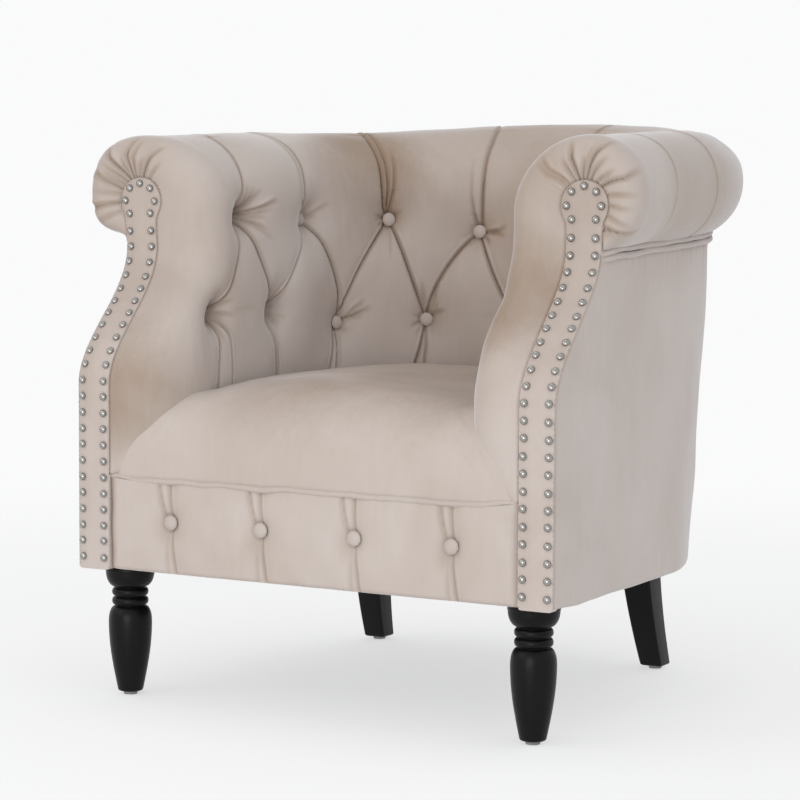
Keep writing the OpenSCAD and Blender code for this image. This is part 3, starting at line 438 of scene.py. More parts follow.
def tuftDepth(s, h):
    pits = np.zeros_like(s)
    rims = np.zeros_like(s)
    shadeMarks = np.zeros_like(s)
    for x, z, deep in buttonPlaces("upper") + buttonPlaces("lower"):
        away = np.hypot(s - x, h - z)
        gap = np.maximum(np.hypot(s - x, (h - z) * 0.85) - 0.5 * tufting["buttonR"], 0)
        wide = np.interp(deep, (tufting["pitBack"], tufting["pitArm"]), tufting["pitWide"])
        pits += (deep * np.exp(-(gap / wide) ** 1.2)) ** 4
        rims += tufting["rimHigh"] * bell(away - tufting["buttonR"], tufting["rimWide"])
        # painted shade round each pit
        shadeMarks = np.maximum(shadeMarks, tufting["pitShadeMark"] * np.exp(-(gap / (0.6 * wide)) ** 1.4))
    pits = pits ** 0.25
    valleys = np.zeros_like(s)
    folds = np.zeros_like(s)
    rib, ribWide = tufting["ribHigh"], tufting["ribWide"]
    height = h[:, 0]
    for heights, run, power, side, valley in creaseLines():
        lean = np.gradient(run, heights)
        at = np.interp(height, heights, run)[:, None]
        square = np.interp(height, heights, 1 / np.sqrt(1 + lean ** 2))[:, None]
        strong = np.interp(height, heights, power)
        past = np.maximum(heights[0] - height, 0) + np.maximum(height - heights[-1], 0)
        across = (s - at) * square
        near = np.hypot(across, past[:, None])
        deep = np.interp(height, heights, valley)[:, None]
        valleys += (deep * np.exp(-(near / tufting["pleatWide"]) ** 1.3)) ** 3
        x = across * side
        # painted shade along each crease
        shadeMarks = np.maximum(shadeMarks, creaseShadeMark(near, strong[:, None]))
        shape = tufting["foldDeep"] * np.exp(-np.abs(near) / tufting["foldWide"]) \
            - rib * bell(x - tufting["ribAt"], ribWide) \
            + tufting["farRib"] * rib * bell(x - tufting["farRibAt"], ribWide)
        folds += shape * (strong * bell(past, tufting["foldEnd"]))[:, None]
    gathers = np.zeros_like(s)
    rays, rng = gatherRays()
    for start, end, power in rays:
        t, across, near = lineDistance(s, h, start, end, rng.normal(0, tufting["gatherBow"]))
        wide = mix(*tufting["gatherWide"], t)
        fade = ease(t / 0.2) * (1 - ramp(t, 0.5, 0.5))
        shape = bell(near, wide) - 0.7 * bell(across - 2.2 * wide, wide)
        gathers += power * tufting["gatherDeep"] * fade * shape
        # painted shade along each gather
        shadeMarks = np.maximum(shadeMarks, 0.95 * creaseShadeMark(near, power * fade))
    deep, wide = tufting["broadFold"]
    heights, run = np.array(tufting["broadAt"]) * mm
    for side in (-1, 1):
        line = np.interp(height, heights, side * run)
        fade = ramp(height, 610 * mm, 30 * mm) * (1 - ramp(height, 690 * mm, 40 * mm))
        gathers -= deep * fade[:, None] * bell(s - line[:, None], wide)
    soft = (pits ** 3 + valleys) ** (1 / 3)
    return soft + folds * np.clip(1.2 - pits / tufting["pitArm"] * 0.5, 0, 1) + gathers + rims, shadeMarks


# The inside of the tub, the shoulder and the roll are one buttoned cover
inside = {
    "step": 2.0 * mm,
    "hiddenStep": 3.4 * mm,     # behind the seat and on the roll's outer side
    "rollFrom": -64,            # degrees round the roll, where it is closed by the double welt
    "footTop": 362 * mm,        # below this the pad runs out to the strip's inner edge
    "cornerReach": 58 * mm,     # the front corner's depth at the arms, low down and on the roll
    "lowReach": 82 * mm,
    "rollReach": 43 * mm,
    "cornerPower": 2.35,        # 2 is a plain ellipse, more is squarer
    "cornerLow": 2.0,           # the same behind the seat
    "groove": 2.6 * mm,         # how deep the cover turns in at the nailed strip
    "edgeBack": 1.6 * mm,       # the cover's edge lies behind the strip's face
    "frontPuff": 6.5 * mm,
    "edgePuff": 2 * mm,         # the arm's front edge is a little fuller below the roll
    "sag": 15.6 * mm,           # the roll's top hangs between the arms and the back
    "slack": 0.8 * mm,
    "armLength": 268 * mm,
    "seatLine": 388 * mm,       # below this the seat hides the cover
    "tucks": ((1.2 * mm, 3.4 * mm), (3.5 * mm, 6.2 * mm)),      # in under the strip, and backwards
    "welt": ((6.5, 15), (5, 8), (2.2, 2.6)),        # the edge behind the welt: inwards and down, in mm
    # ramps, each from where and over how far: share of the roll's climb, corner's reach by height and
    # by radius, corner's fullness
    "climbRamp": (400 * mm, 190 * mm),
    "reachRamp": (395 * mm, 110 * mm),
    "rollRamp": (205 * mm, 70 * mm),
    "fullRamp": (420 * mm, 80 * mm),
}
# The arms' heads lean out a little, and the rolls swell there, the left ones more
heads = {
    "lean": (7.5 * mm, 2 * mm),
    "swell": (15.5 * mm, 2 * mm),
    "from": -70 * mm,
    "over": 160 * mm,
    "leanRamp": (480 * mm, 120 * mm),
}


def leanOut(points):
    points = np.array(points, float)
    amount = np.where(points[..., 0] < 0, -heads["lean"][0], heads["lean"][1])
    rise = ramp(points[..., 2], *heads["leanRamp"])
    points[..., 0] += amount * rise * ease((heads["from"] - points[..., 1]) / heads["over"])
    return points


def insideProfile():
    # the tub's section as radius, height, its share of the roll's climb, and the run along the cloth
    outerTurn = np.radians(np.arange(inside["rollFrom"], 40, math.degrees(inside["hiddenStep"] / rollR)))
    outerTurn = np.append(outerTurn, np.radians(np.arange(40, 90, math.degrees(inside["step"] / rollR))))
    innerHalf = rollC - chair["innerR"]
    steps = int(1.52 * innerHalf / inside["step"])
    innerTurn = np.radians(np.linspace(90, 180, steps, endpoint=False))
    shoulderZ = rollZ + rollR - chair["fullness"]
    seatLine = inside["seatLine"]
    down = np.arange(shoulderZ, seatLine, -inside["step"])
    down = np.append(down, np.arange(seatLine, chair["footZ"] + 1 * mm, -inside["hiddenStep"]))
    down = np.append(down, chair["footZ"])
    drop = np.clip((inside["footTop"] - down) / (inside["footTop"] - chair["footZ"]), 0, 1)
    wallR = mix(chair["innerR"], innerEdgeX, 1 - np.sqrt(1 - drop ** 2))
    r = np.concatenate([rollC + rollR * np.cos(outerTurn), rollC + innerHalf * np.cos(innerTurn), wallR])
    shoulder = shoulderZ + chair["fullness"] * np.sin(innerTurn)
    z = np.concatenate([rollZ + rollR * np.sin(outerTurn), shoulder, down])
    run = np.concatenate([[0], np.cumsum(np.hypot(np.diff(r), np.diff(z)))])
    atWall = len(outerTurn) + len(innerTurn)
    h = shoulderZ + run[atWall] - run
    h[atWall:] = down
    share = np.where(np.arange(len(r)) < atWall, 1.0, ramp(z, *inside["climbRamp"]))
    return r, z, share, h


def stripEdgeRun(r, z):
    # where each row of the cover meets the nailed strip: out from the head's middle, then level with the row
    # the turns are those round the head at which the row passes from the roll to the neck
    turn = np.unwrap(np.arctan2(z - chair["headZ"], r - chair["stripX"]))
    turn = np.degrees(turn - 2 * math.pi * np.round(turn[0] / (2 * math.pi)))
    around = np.degrees(np.unwrap(np.arctan2(outline[:, 1] - chair["headZ"], outline[:, 0])))
    onHead = outline[:, 1] > chair["headZ"] - chair["headR"]
    byTurn = np.interp(turn, around[onHead], outlineRun[onHead])
    below = outlineAt(np.interp(turn, (-62, -44), (566 * mm, 594 * mm)), False)
    byTurn = np.where(turn < -44, below, byTurn)
    byHeight = outlineAt(np.minimum(z, 590 * mm), True)
    lower = ease((612 * mm - z) / (64 * mm)) * (r < chair["stripX"])
    return mix(byTurn, np.maximum(byHeight, byTurn), lower)


def outlineInset(run, depth):
    # a point of the outline, moved in under the strip
    x, z = outlinePoint(run)
    ahead, above = outlinePoint(run + 0.5 * mm)
    behind, below = outlinePoint(run - 0.5 * mm)
    length = np.hypot(ahead - behind, above - below)
    return x - depth * (above - below) / length, z + depth * (ahead - behind) / length


def insideSurface():
    r, z, share, h = insideProfile()
    rows = len(r)
    endRun = stripEdgeRun(r, z + climb(-250 * mm) * share)
    edgeX, edgeZ = outlinePoint(endRun)
    edgeX = edgeX + chair["stripX"]
    edgeY = stripFace(edgeZ) + inside["edgeBack"]
    wallReach = mix(inside["lowReach"], inside["cornerReach"], ramp(z, *inside["reachRamp"]))
    reach = mix(wallReach, inside["rollReach"], ramp(r, *inside["rollRamp"]))
    startY = edgeY + reach
    mid = tubMid(z)

    backCount = int(quarterArc / inside["step"] / 1.06)
    backTurn = np.linspace(0, math.pi / 2, backCount, endpoint=False)
    armCount = int(inside["armLength"] / inside["step"])
    armShare = np.linspace(0, 1, armCount, endpoint=False)
    cornerTurn = math.pi / 2 * (1 - (1 - np.linspace(0, 1, 60)) ** 1.5)
    power = 2 / mix(inside["cornerLow"], inside["cornerPower"], ramp(z, *inside["fullRamp"]))[:, None]
    still = np.maximum(np.cos(cornerTurn), 0)[None] ** power      # 1 at the arm's side, 0 at the strip's edge
    ahead = np.sin(cornerTurn)[None] ** power

    def half(side):
        wall = side * r[:, None]
        back = pointGrid(wall * np.sin(backTurn), mid[:, None] + r[:, None] * np.cos(backTurn), z[:, None])
        arm = pointGrid(wall, mix(mid[:, None], startY[:, None], armShare), z[:, None])
        flat = np.concatenate([back, arm], 1)
        flat[..., 2] += climb(flat[..., 1]) * share[:, None]
        base = z + climb(startY) * share
        corner = pointGrid(side * mix(edgeX[:, None], r[:, None], still),
                           edgeY[:, None] + reach[:, None] * (1 - ahead),
                           mix(edgeZ[:, None], base[:, None], still))
        under = []
        for inwards, backwards in inside["tucks"]:
            x, level = outlineInset(endRun, inwards)
            under.append(pointGrid(side * (x + chair["stripX"]), edgeY + backwards, level)[:, None])
        grid = np.concatenate([flat, corner] + under, 1)
        runBack = np.repeat(backTurn[None] * buttonArcR, rows, 0)
        runArm = quarterArc + (mid[:, None] - flat[:, backCount:, 1])
        runCorner = quarterArc + (mid - startY)[:, None] + ahead * reach[:, None]
        runUnder = runCorner[:, -1:] + np.array([[1, 2]]) * mm
        s = side * np.concatenate([runBack, runArm, runCorner, runUnder], 1)
        past = np.concatenate([np.zeros(backCount + armCount), cornerTurn / (math.pi / 2), [1.01, 1.02]])
        return grid, s, np.repeat(past[None], rows, 0)

    grid, s, past = (np.concatenate([left[:, :0:-1], right], 1) for left, right in zip(half(-1), half(1)))
    heights = np.repeat(h[:, None], grid.shape[1], 1)
    # how far round the roll a row is, seen from the head's middle
    around = np.degrees(np.unwrap(np.arctan2(z - 10 * mm - chair["headZ"], r - chair["stripX"])))
    around = np.repeat(around[:, None], grid.shape[1], 1)
    return grid, s, heights, past, around


# Folds on the roll's front: turn round the head at start, middle and end, length in mm, strength
rollFolds = {
    "right": (
        (100, 107, 106, 52, 1.2), (84, 78, 66, 60, 1.25), (47, 32, 35, 56, 1.2), (-46, -36, -24, 50, 1.0),
        (126, 139, 138, 60, 0.6), (132, 144, 144, 58, 0.45), (92, 91, 90, 30, 0.9), (76, 70, 62, 36, 0.8),
        (62, 52, 46, 30, 0.6), (24, 14, 10, 38, 0.6), (2, -4, -4, 32, 0.45), (-20, -24, -24, 34, 0.5),
        (112, 117, 120, 34, 0.6), (88, 84, 80, 44, 0.5),
    ),
    "left": (
        (62, 53, 58, 60, 1.25), (73, 73, 85, 56, 1.2), (80, 80, 92, 50, 0.9), (28, 29, 34, 48, 1.15),
        (-4, -6, -4, 46, 1.1), (98, 106, 120, 50, 1.0), (52, 45, 44, 34, 0.7), (42, 38, 38, 30, 0.5),
        (14, 12, 12, 30, 0.45), (-24, -24, -24, 32, 0.5), (88, 90, 95, 28, 0.6), (68, 64, 66, 30, 0.6),
        (36, 33, 34, 26, 0.5), (114, 120, 126, 32, 0.4),
    ),
}


rollFold = {
    "deep": 3 * mm,
    "wide": (1 * mm, 2.3 * mm),     # at the strip and at its far end
    "ribs": ((-0.6, 2.6, 1.3), (-0.25, -3.4, 1.8)),     # beside a fold: height, place and width, as shares
    "fineDeep": 0.8 * mm,           # the small gathers at the strip's edge
    "fineReach": 13 * mm,
    # how far the painted shade along the strip's edge reaches
    "edgeShadeReach": 6 * mm,
}


def rollFoldDepth(grid, past, around):
    # measured over the cloth: from the strip's edge outwards, and sideways round the roll
    depth = np.zeros(past.shape)
    shadeMarks = np.zeros(past.shape)
    cols = grid.shape[1]
    middle = cols // 2
    step = np.linalg.norm(np.diff(grid, axis=1), axis=2)
    runFromRight = np.concatenate([np.cumsum(step[:, ::-1], 1)[:, ::-1], np.zeros((len(grid), 1))], 1)
    runFromLeft = np.concatenate([np.zeros((len(grid), 1)), np.cumsum(step, 1)], 1)
    parts = (("left", slice(0, middle), runFromLeft), ("right", slice(middle, cols), runFromRight))
    for side, sel, run in parts:
        edge = np.where(past[0, sel] == 1)[0][0]
        out = run[:, sel] - run[:, sel][:, edge:edge + 1]
        turn = around[:, sel]
        spread = mix(chair["headR"], rollR, np.clip(out / (50 * mm), 0, 1))
        for start, half, end, length, strength in rollFolds[side]:
            t = np.clip(out / (length * mm), 0, 1)
            centre = np.interp(t, (0, 0.5, 1), (start, half, end))
            across = np.radians(turn - centre) * spread
            wide = mix(*rollFold["wide"], t)
            fade = (1 - ramp(t, 0.4, 0.6)) * (out < length * mm) * ramp(out, -2 * mm, 3 * mm)
            # painted shade along each fold
            shadeMarks[:, sel] = np.maximum(shadeMarks[:, sel], creaseShadeMark(np.abs(across), strength * fade))
            lip = 1 if end <= start else -1
            shape = np.exp(-np.abs(across) / wide)
            for high, at, ribWide in rollFold["ribs"]:
                shape = shape + high * bell(across * lip - at * wide, ribWide * wide)
            depth[:, sel] += strength * rollFold["deep"] * fade * shape
        onRoll = ease((170 - turn) / 25) * ramp(turn, -30, 40)
        radians = np.radians(turn)
        wander = 2.4 * np.sin(radians * 5) + 1.3 * np.sin(radians * 13 + 1)
        fine = np.cos(radians * 40 + wander) * np.exp(-(np.maximum(out, 0) / rollFold["fineReach"]) ** 1.5)
        depth[:, sel] += rollFold["fineDeep"] * fine * onRoll * (out > -4 * mm)
        depth[:, sel] += inside["groove"] * bell(np.maximum(out, 0), inside["groove"])
        # painted shade along the strip's edge
        shadeMarks[:, sel] = np.maximum(shadeMarks[:, sel], np.clip(1 - np.abs(out) / rollFold["edgeShadeReach"], 0, 1))
    return depth, shadeMarks


insideMap = {}


def makeInside():
    grid, s, heights, past, around = insideSurface()
    # columns slide a little along their rows, onto the creases
    snapped = snapToCreases(s, heights)
    slope = np.gradient(grid, axis=1) / np.gradient(s, axis=1)[..., None]
    free = (past <= 0)[..., None]
    grid = grid + slope * (snapped - s)[..., None] * free
    s = np.where(free[..., 0], snapped, s)
    normals = surfaceNormals(grid)
    if normals[len(grid) // 2, grid.shape[1] // 2, 1] > 0:
        normals = -normals      # the normal points out of the padding
    tufts, tuftShade = tuftDepth(s, heights)
    folds, foldShade = rollFoldDepth(grid, past, around)
    depth = tufts * (1 - ease(past * 1.05)) + folds * (past <= 1)
    # painted shade marks of the tufting and of the roll's folds
    shadeMarks = np.maximum(tuftShade * (past < 0.45), foldShade)
    depth -= inside["slack"] * waves(grid, 120 * mm, 3) * (1 - ramp(past, 0.7, 0.3))
    bulge = np.sin(math.pi * np.clip(past, 0, 1) ** 1.25) ** 1.2
    depth -= inside["frontPuff"] * bulge * ramp(heights, 300 * mm, 80 * mm) * ramp(around, -60, 40)
    # the rolls swell towards their front ends
    swell = np.where(grid[..., 0] < 0, heads["swell"][0], heads["swell"][1])
    swell = swell * ease((95 - around) / 55) * ramp(around, -62, 45) * (1 - ramp(past, 0.55, 0.4))
    depth -= swell * ease((heads["from"] - grid[..., 1]) / heads["over"])
    edge = ramp(heights, 420 * mm, 80 * mm) * (1 - ramp(heights, 560 * mm, 60 * mm))
    edge = edge * (1 - ramp(past, 0.5, 0.5))
    depth -= inside["edgePuff"] * edge * ease((-190 * mm - grid[..., 1]) / (50 * mm))
    backward = np.clip((grid[..., 1] - tubY) / rollC, 0, 1)
    sag = inside["sag"] * (backward - backward ** 3)
    depth += sag * ramp(around, 25, 40) * ease((172 - around) / 40)
    insideMap.update(s=s.reshape(-1), h=heights.reshape(-1), base=leanOut(grid), normal=normals)
    moved = leanOut(grid - normals * depth[..., None])
    # the edge under the roll runs down behind the welt
    start = moved[0]
    inward = np.array([0, tubY, 0]) - start
    inward[:, 2] = 0
    inward /= np.linalg.norm(inward, axis=1)[:, None]
    fall = np.where(past[0] > 0.35, 0.25, 1.0)[:, None] * np.array([0, 0, mm])
    tucked = np.array([start + inward * a * mm - fall * b for a, b in inside["welt"]])
    piece = sheetPiece("buttonedInside", np.concatenate([tucked, moved], 0))
    # the tucked edge takes no painted shade
    paintShadeMarks(piece, np.concatenate([np.zeros(tucked.shape[:2]), shadeMarks], 0))
    return piece


insideCover = makeInside()
print("buttoned inside made")


# Shader maths: sockets that can be added and multiplied in plain sums
class Sock:
    def __init__(self, tree, out):
        self.tree = tree
        self.out = out

    def calc(self, kind, *others):
        made = self.tree.nodes.new("ShaderNodeMath")
        made.operation = kind
        for i, value in enumerate((self,) + others):
            plug(self.tree, made.inputs[i], value)
        return Sock(self.tree, made.outputs[0])

    def __add__(self, other):
        return self.calc("ADD", other)

    def __sub__(self, other):
        return self.calc("SUBTRACT", other)

    def __mul__(self, other):
        return self.calc("MULTIPLY", other)

    def __rsub__(self, other):
        made = self.calc("SUBTRACT", other)
        return made * -1.0

    def between(self, low, high):
        # 0 at low, 1 at high, held inside that range
        made = self.tree.nodes.new("ShaderNodeMapRange")
        made.interpolation_type = "SMOOTHSTEP"
        plug(self.tree, made.inputs["Value"], self)
        made.inputs["From Min"].default_value = low
        made.inputs["From Max"].default_value = high
        return Sock(self.tree, made.outputs[0])


def plug(tree, socket, value):
    if isinstance(value, Sock):
        tree.links.new(value.out, socket)
    else:
        socket.default_value = value


class Look:
    def __init__(self, name, owner=None):
        self.material = owner or bpy.data.materials.new(name)
        self.material.use_nodes = True
        self.tree = self.material.node_tree
        self.tree.nodes.clear()

    def node(self, kind, settings, inputs, out=0):
        made = self.tree.nodes.new("ShaderNode" + kind)
        for key, value in settings.items():
            setattr(made, key, value)
        for key, value in inputs.items():
            plug(self.tree, made.inputs[key], value)
        return Sock(self.tree, made.outputs[out]) if len(made.outputs) else None

    def place(self, squeeze=(1, 1, 1)):
        spot = self.node("TexCoord", {}, {}, out=3)
        return self.node("Mapping", {}, {"Vector": spot, "Scale": squeeze})

    def noise(self, place, size, detail=3.0, rough=0.55, twist=0.0):
        return self.node("TexNoise", {}, {"Vector": place, "Scale": 1 / size, "Detail": detail,
                                          "Roughness": rough, "Distortion": twist})

    def blend(self, share, a, b):
        return self.node("Mix", {"data_type": "RGBA"}, {0: share, 6: a, 7: b}, out=2)

    def bump(self, height, distance, strength=1.0, under=None):
        inputs = {"Height": height, "Distance": distance, "Strength": strength}
        if under is not None:
            inputs["Normal"] = under
        return self.node("Bump", {}, inputs)

    def cover(self, own, share, rough, height, **more):
        # a finish of two tones with a relief
        return self.finish(Base_Color=self.blend(share, *own["tones"]), Roughness=rough,
                           Normal=self.bump(height, *own["relief"]), **more)

    def finish(self, **inputs):
        named = {key.replace("_", " "): value for key, value in inputs.items()}
        surface = self.node("BsdfPrincipled", {}, named)
        self.node("OutputMaterial", {}, {"Surface": surface})
        return self.material


def colour(r, g, b):
    return (r, g, b, 1)


def shaded(tone, amount):
    return tuple(v * amount for v in tone[:3]) + (1,)


velvet = {
    "light": colour(0.505, 0.440, 0.400),
    "dark": colour(0.390, 0.316, 0.266),
    "sheen": 0.75,
    "sheenSpread": 0.32,
    "sheenTint": colour(0.93, 0.95, 1.0),
    "roughness": 0.82,
    # painted shade: the dark tone drawn in creases and along edges, and how much of it
    "creaseShadeTone": colour(0.16, 0.115, 0.09),
    "creaseShadeShare": 0.6,
    "hollowShade": 0.7,              # painted shade: how much darker pits and the sides of creases look
    "sideLightAndShade": 0.75,                # painted light and shade by the way a face turns, and painted light low down
    "lowLight": 0.5,
    "lowLightFrom": (0.28, 0.6),
    "deepest": -0.95,           # how far past the dark tone the painted shade may take the colour
    "patchSize": 0.17,          # brushed areas of the pile
    "strokeSize": 0.009,        # streaks along the nap, longer up and down
    "pileSize": 0.0009,
    "plain": -0.01,             # the share of the light tone, and what each of the three adds
    "patchShare": 0.44,
    "strokeShare": 0.34,
    "pileShare": 0.24,
    "strokeBump": (0.0007, 0.3),
    "pileBump": (0.0003, 0.4),
    "shine": 0.15,
    "seatSheen": 0.14,          # the seat is rubbed, so its pile shines less
    # less painted light low down on the outside cover
    "outsideLowLight": 0.2,
}
# Painted shade in patches, and painted light where the amount is below 0: middle and reach in mm, how much
# darker it looks
shadeAndLightInside = (
    ((-250, -330, 380), 105, 1.4), ((-215, -220, 480), 90, 0.45), ((245, -275, 505), 95, 0.95),
    ((225, -260, 420), 80, 0.4), ((215, -335, 320), 90, -0.6), ((-215, 110, 660), 115, 1.2),
    ((-210, -73, 540), 70, -0.7), ((330, -300, 630), 70, -0.55), ((365, -60, 625), 120, 0.55),
    ((-350, -300, 620), 70, 0.4),
)
shadeSeat = (((90, -190, 405), 190, 0.95), ((-80, -300, 395), 90, 0.4))
# Painted shade, darker towards the back: from where, to where and how much
backShadeInside = (0, 260 * mm, 0.5)
backShadeSeat = (-240 * mm, 60 * mm, 1.25)


def velvetLook(name, shade=1.0, sheen=velvet["sheen"], backward=None, areas=(), lowLight=velvet["lowLight"]):
    look = Look(name)
    spot = look.place()
    patches = look.noise(spot, velvet["patchSize"], 3, 0.5, 0.8)
    strokes = look.noise(look.place((1, 1, 0.16)), velvet["strokeSize"], 4, 0.6, 0.25)
    pile = look.noise(spot, velvet["pileSize"], 2, 0.7)
    share = patches.between(0.25, 0.75) * velvet["patchShare"] + strokes * velvet["strokeShare"] \
        + pile * velvet["pileShare"] + velvet["plain"]
    # painted light and shade: faces that turn to the right and parts low down are painted lighter, faces that
    # turn to the left darker
    across = look.node("SeparateXYZ", {}, {"Vector": look.node("NewGeometry", {}, {}, out=1)}, out=0)
    height = look.node("SeparateXYZ", {}, {"Vector": spot}, out=2)
    share = share + across * velvet["sideLightAndShade"] + (1 - height.between(*velvet["lowLightFrom"])) * lowLight
    # painted shade in pits, beside creases and along edges, from the crease attribute
    crease = look.node("Attribute", {"attribute_name": "crease"}, {}, out=2)
    share = share - crease.between(0.0, 0.65) * velvet["hollowShade"]
    # painted shade, darker towards the back
    if backward:
        back = look.node("SeparateXYZ", {}, {"Vector": spot}, out=1)
        share = share - back.between(*backward[:2]) * backward[2]
    # painted shade in patches, and painted light where the amount is below 0
    for middle, wide, amount in areas:
        reach = wide * mm
        ends = {0: spot, 1: [v * mm for v in middle]}
        away = look.node("VectorMath", {"operation": "DISTANCE"}, ends, out=1)
        away = away + patches * (0.3 * reach) + strokes * (0.12 * reach)
        share = share - (1 - away.between(0.45 * reach, 1.35 * reach)) * amount
    share = share.calc("MAXIMUM", velvet["deepest"])
    tones = {0: share, 6: shaded(velvet["dark"], shade), 7: shaded(velvet["light"], shade)}
    base = look.node("Mix", {"data_type": "RGBA", "clamp_factor": False}, tones, out=2)
    # painted shade: creases and edges take the dark crease tone
    base = look.blend(crease.between(0.7, 0.99) * velvet["creaseShadeShare"], base, velvet["creaseShadeTone"])
    fine = look.bump(pile, *velvet["pileBump"], look.bump(strokes, *velvet["strokeBump"]))
    return look.finish(Base_Color=base, Roughness=velvet["roughness"], Sheen_Weight=sheen,
                       Sheen_Roughness=velvet["sheenSpread"], Sheen_Tint=velvet["sheenTint"],
                       Specular_IOR_Level=velvet["shine"], Normal=fine)


# The other finishes: darker and lighter tone, sizes in metres, roughness, depth and strength of the relief
finishes = {
    "lacquer": {"tones": (colour(0.0022, 0.0021, 0.0021), colour(0.005, 0.0048, 0.0046)), "grain": 0.004,
                "rubbed": 0.03, "rough": 0.3, "relief": (0.0002, 0.25), "shine": 0.14, "coat": 0.03,
                "coatRough": 0.25},
    "metal": {"smear": 0.012, "scratch": 0.0012, "dent": 0.0022, "dentDeep": 0.0002, "dull": 0.86},
    "timber": {"tones": (colour(0.44, 0.27, 0.14), colour(0.62, 0.44, 0.26)),
               "fibreTone": colour(0.34, 0.2, 0.1), "rings": 6.5, "grain": 0.0016, "rough": 0.55,
               "relief": (0.0003, 0.4)},
    "plywood": {"tones": (colour(0.42, 0.26, 0.13), colour(0.66, 0.5, 0.31)),
                "fibreTone": colour(0.5, 0.34, 0.19), "layers": 105.0, "grain": 0.002, "rough": 0.6,
                "relief": (0.0003, 0.45)},
    "woven": {"tones": (colour(0.24, 0.16, 0.09), colour(0.5, 0.37, 0.22)), "thread": 0.014, "fluff": 0.0012,
              "rough": 0.9, "sheen": 0.15, "relief": (0.0006, 0.7)},
    "foam": {"tones": (colour(0.5, 0.4, 0.16), colour(0.82, 0.74, 0.46)), "pores": 900.0, "aged": 0.06,
             "rough": 0.95, "relief": (0.0005, 0.6)},
    "cardboard": {"tones": (colour(0.24, 0.2, 0.155), colour(0.47, 0.41, 0.33)), "grain": 0.0015,
                  "clouds": 0.04, "rough": 0.9, "relief": (0.0002, 0.4)},
    "nonwoven": {"tones": (colour(0.009, 0.009, 0.01), colour(0.042, 0.042, 0.045)), "grain": 0.0014,
                 "dots": 420.0, "rough": 0.75, "relief": (0.0003, 0.6)},
    "nylon": {"tones": (colour(0.16, 0.16, 0.165), colour(0.27, 0.27, 0.275)), "grain": 0.003, "rough": 0.42,
              "relief": (0.0001, 0.4)},
}


def lacquerLook():
    look, own = Look("blackLacquer"), finishes["lacquer"]
    grain = look.noise(look.place((1, 1, 0.12)), own["grain"], 4, 0.6, 0.3)
    rubbed = look.noise(look.place(), own["rubbed"], 3, 0.6)
    return look.cover(own, grain, rubbed * 0.14 + own["rough"], grain, Specular_IOR_Level=own["shine"],
                      Coat_Weight=own["coat"], Coat_Roughness=own["coatRough"])


def metalLook(name, tone, rough, dents):
    look, own = Look(name), finishes["metal"]
    spot = look.place()
    smear = look.noise(spot, own["smear"], 4, 0.65, 0.8)
    scratch = look.noise(look.place((6, 1, 1)), own["scratch"], 2, 0.5)
    base = look.blend(smear, shaded(tone, own["dull"]), tone)
    worn = look.bump(look.noise(spot, own["dent"], 2, 0.5), own["dentDeep"], dents)
    return look.finish(Base_Color=base, Metallic=1.0, Normal=worn,
                       Roughness=smear * 0.1 + scratch * 0.05 + rough)


def timberLook():
    look, own = Look("planedTimber"), finishes["timber"]
    bands = {"Vector": look.place((3.2, 3.2, 22)), "Scale": own["rings"], "Distortion": 5.5, "Detail": 3.0,
              "Detail Scale": 1.4}
    rings = look.node("TexWave", {"wave_type": "BANDS", "bands_direction": "Y", "wave_profile": "SAW"}, bands)
    fibre = look.noise(look.place((0.05, 1, 1)), own["grain"], 3, 0.6)
    base = look.blend(fibre * 0.35, look.blend(rings, *own["tones"]), own["fibreTone"])
    return look.finish(Base_Color=base, Roughness=fibre * 0.2 + own["rough"],
                       Normal=look.bump(fibre, *own["relief"]))


def plywoodLook():
    look, own = Look("rawPlywood"), finishes["plywood"]
    layers = look.node("TexWave", {"wave_type": "BANDS", "bands_direction": "Z"},
                       {"Vector": look.place(), "Scale": own["layers"], "Distortion": 0.25, "Detail": 1.0})
    fibre = look.noise(look.place((0.06, 1, 1)), own["grain"], 4, 0.6)
    base = look.blend(fibre * 0.4, look.blend(layers.between(0.35, 0.65), *own["tones"]), own["fibreTone"])
    return look.finish(Base_Color=base, Roughness=fibre * 0.2 + own["rough"],
                       Normal=look.bump(fibre, *own["relief"]))


def wovenLook():
    look, own = Look("jute"), finishes["woven"]
    spot = look.place()
    threads = []
    for way, place in (("Z", spot), ("DIAGONAL", look.place((1, 1, 0)))):
        inputs = {"Vector": place, "Scale": 1 / own["thread"], "Distortion": 0.6, "Detail": 2.0}
        threads.append(look.node("TexWave", {"wave_type": "BANDS", "bands_direction": way}, inputs))
    weave = threads[0].calc("MAXIMUM", threads[1])
    fluff = look.noise(spot, own["fluff"], 3, 0.7)
    return look.cover(own, weave * 0.7 + fluff * 0.3, own["rough"], weave + fluff * 0.4,
                      Sheen_Weight=own["sheen"])


def foamLook():
    look, own = Look("cutFoam"), finishes["foam"]
    spot = look.place()
    pores = look.node("TexVoronoi", {}, {"Vector": spot, "Scale": own["pores"]})
    aged = look.noise(spot, own["aged"], 3, 0.6)
    return look.cover(own, pores.between(0.05, 0.4) * 0.7 + aged * 0.3, own["rough"], pores)


def cardboardLook():
    look, own = Look("greyCardboard"), finishes["cardboard"]
    spot = look.place()
    specks = look.noise(spot, own["grain"], 4, 0.75)
    clouds = look.noise(spot, own["clouds"], 3, 0.6)
    return look.cover(own, specks * 0.6 + clouds * 0.4, own["rough"], specks)


def nonwovenLook():
    look, own = Look("blackNonwoven"), finishes["nonwoven"]
    spot = look.place()
    fibres = look.noise(spot, own["grain"], 4, 0.8, 2.0)
    dots = look.node("TexVoronoi", {}, {"Vector": spot, "Scale": own["dots"], "Randomness": 0.15})
    return look.cover(own, fibres, fibres * 0.15 + own["rough"], dots.between(0.1, 0.45) + fibres * 0.5)


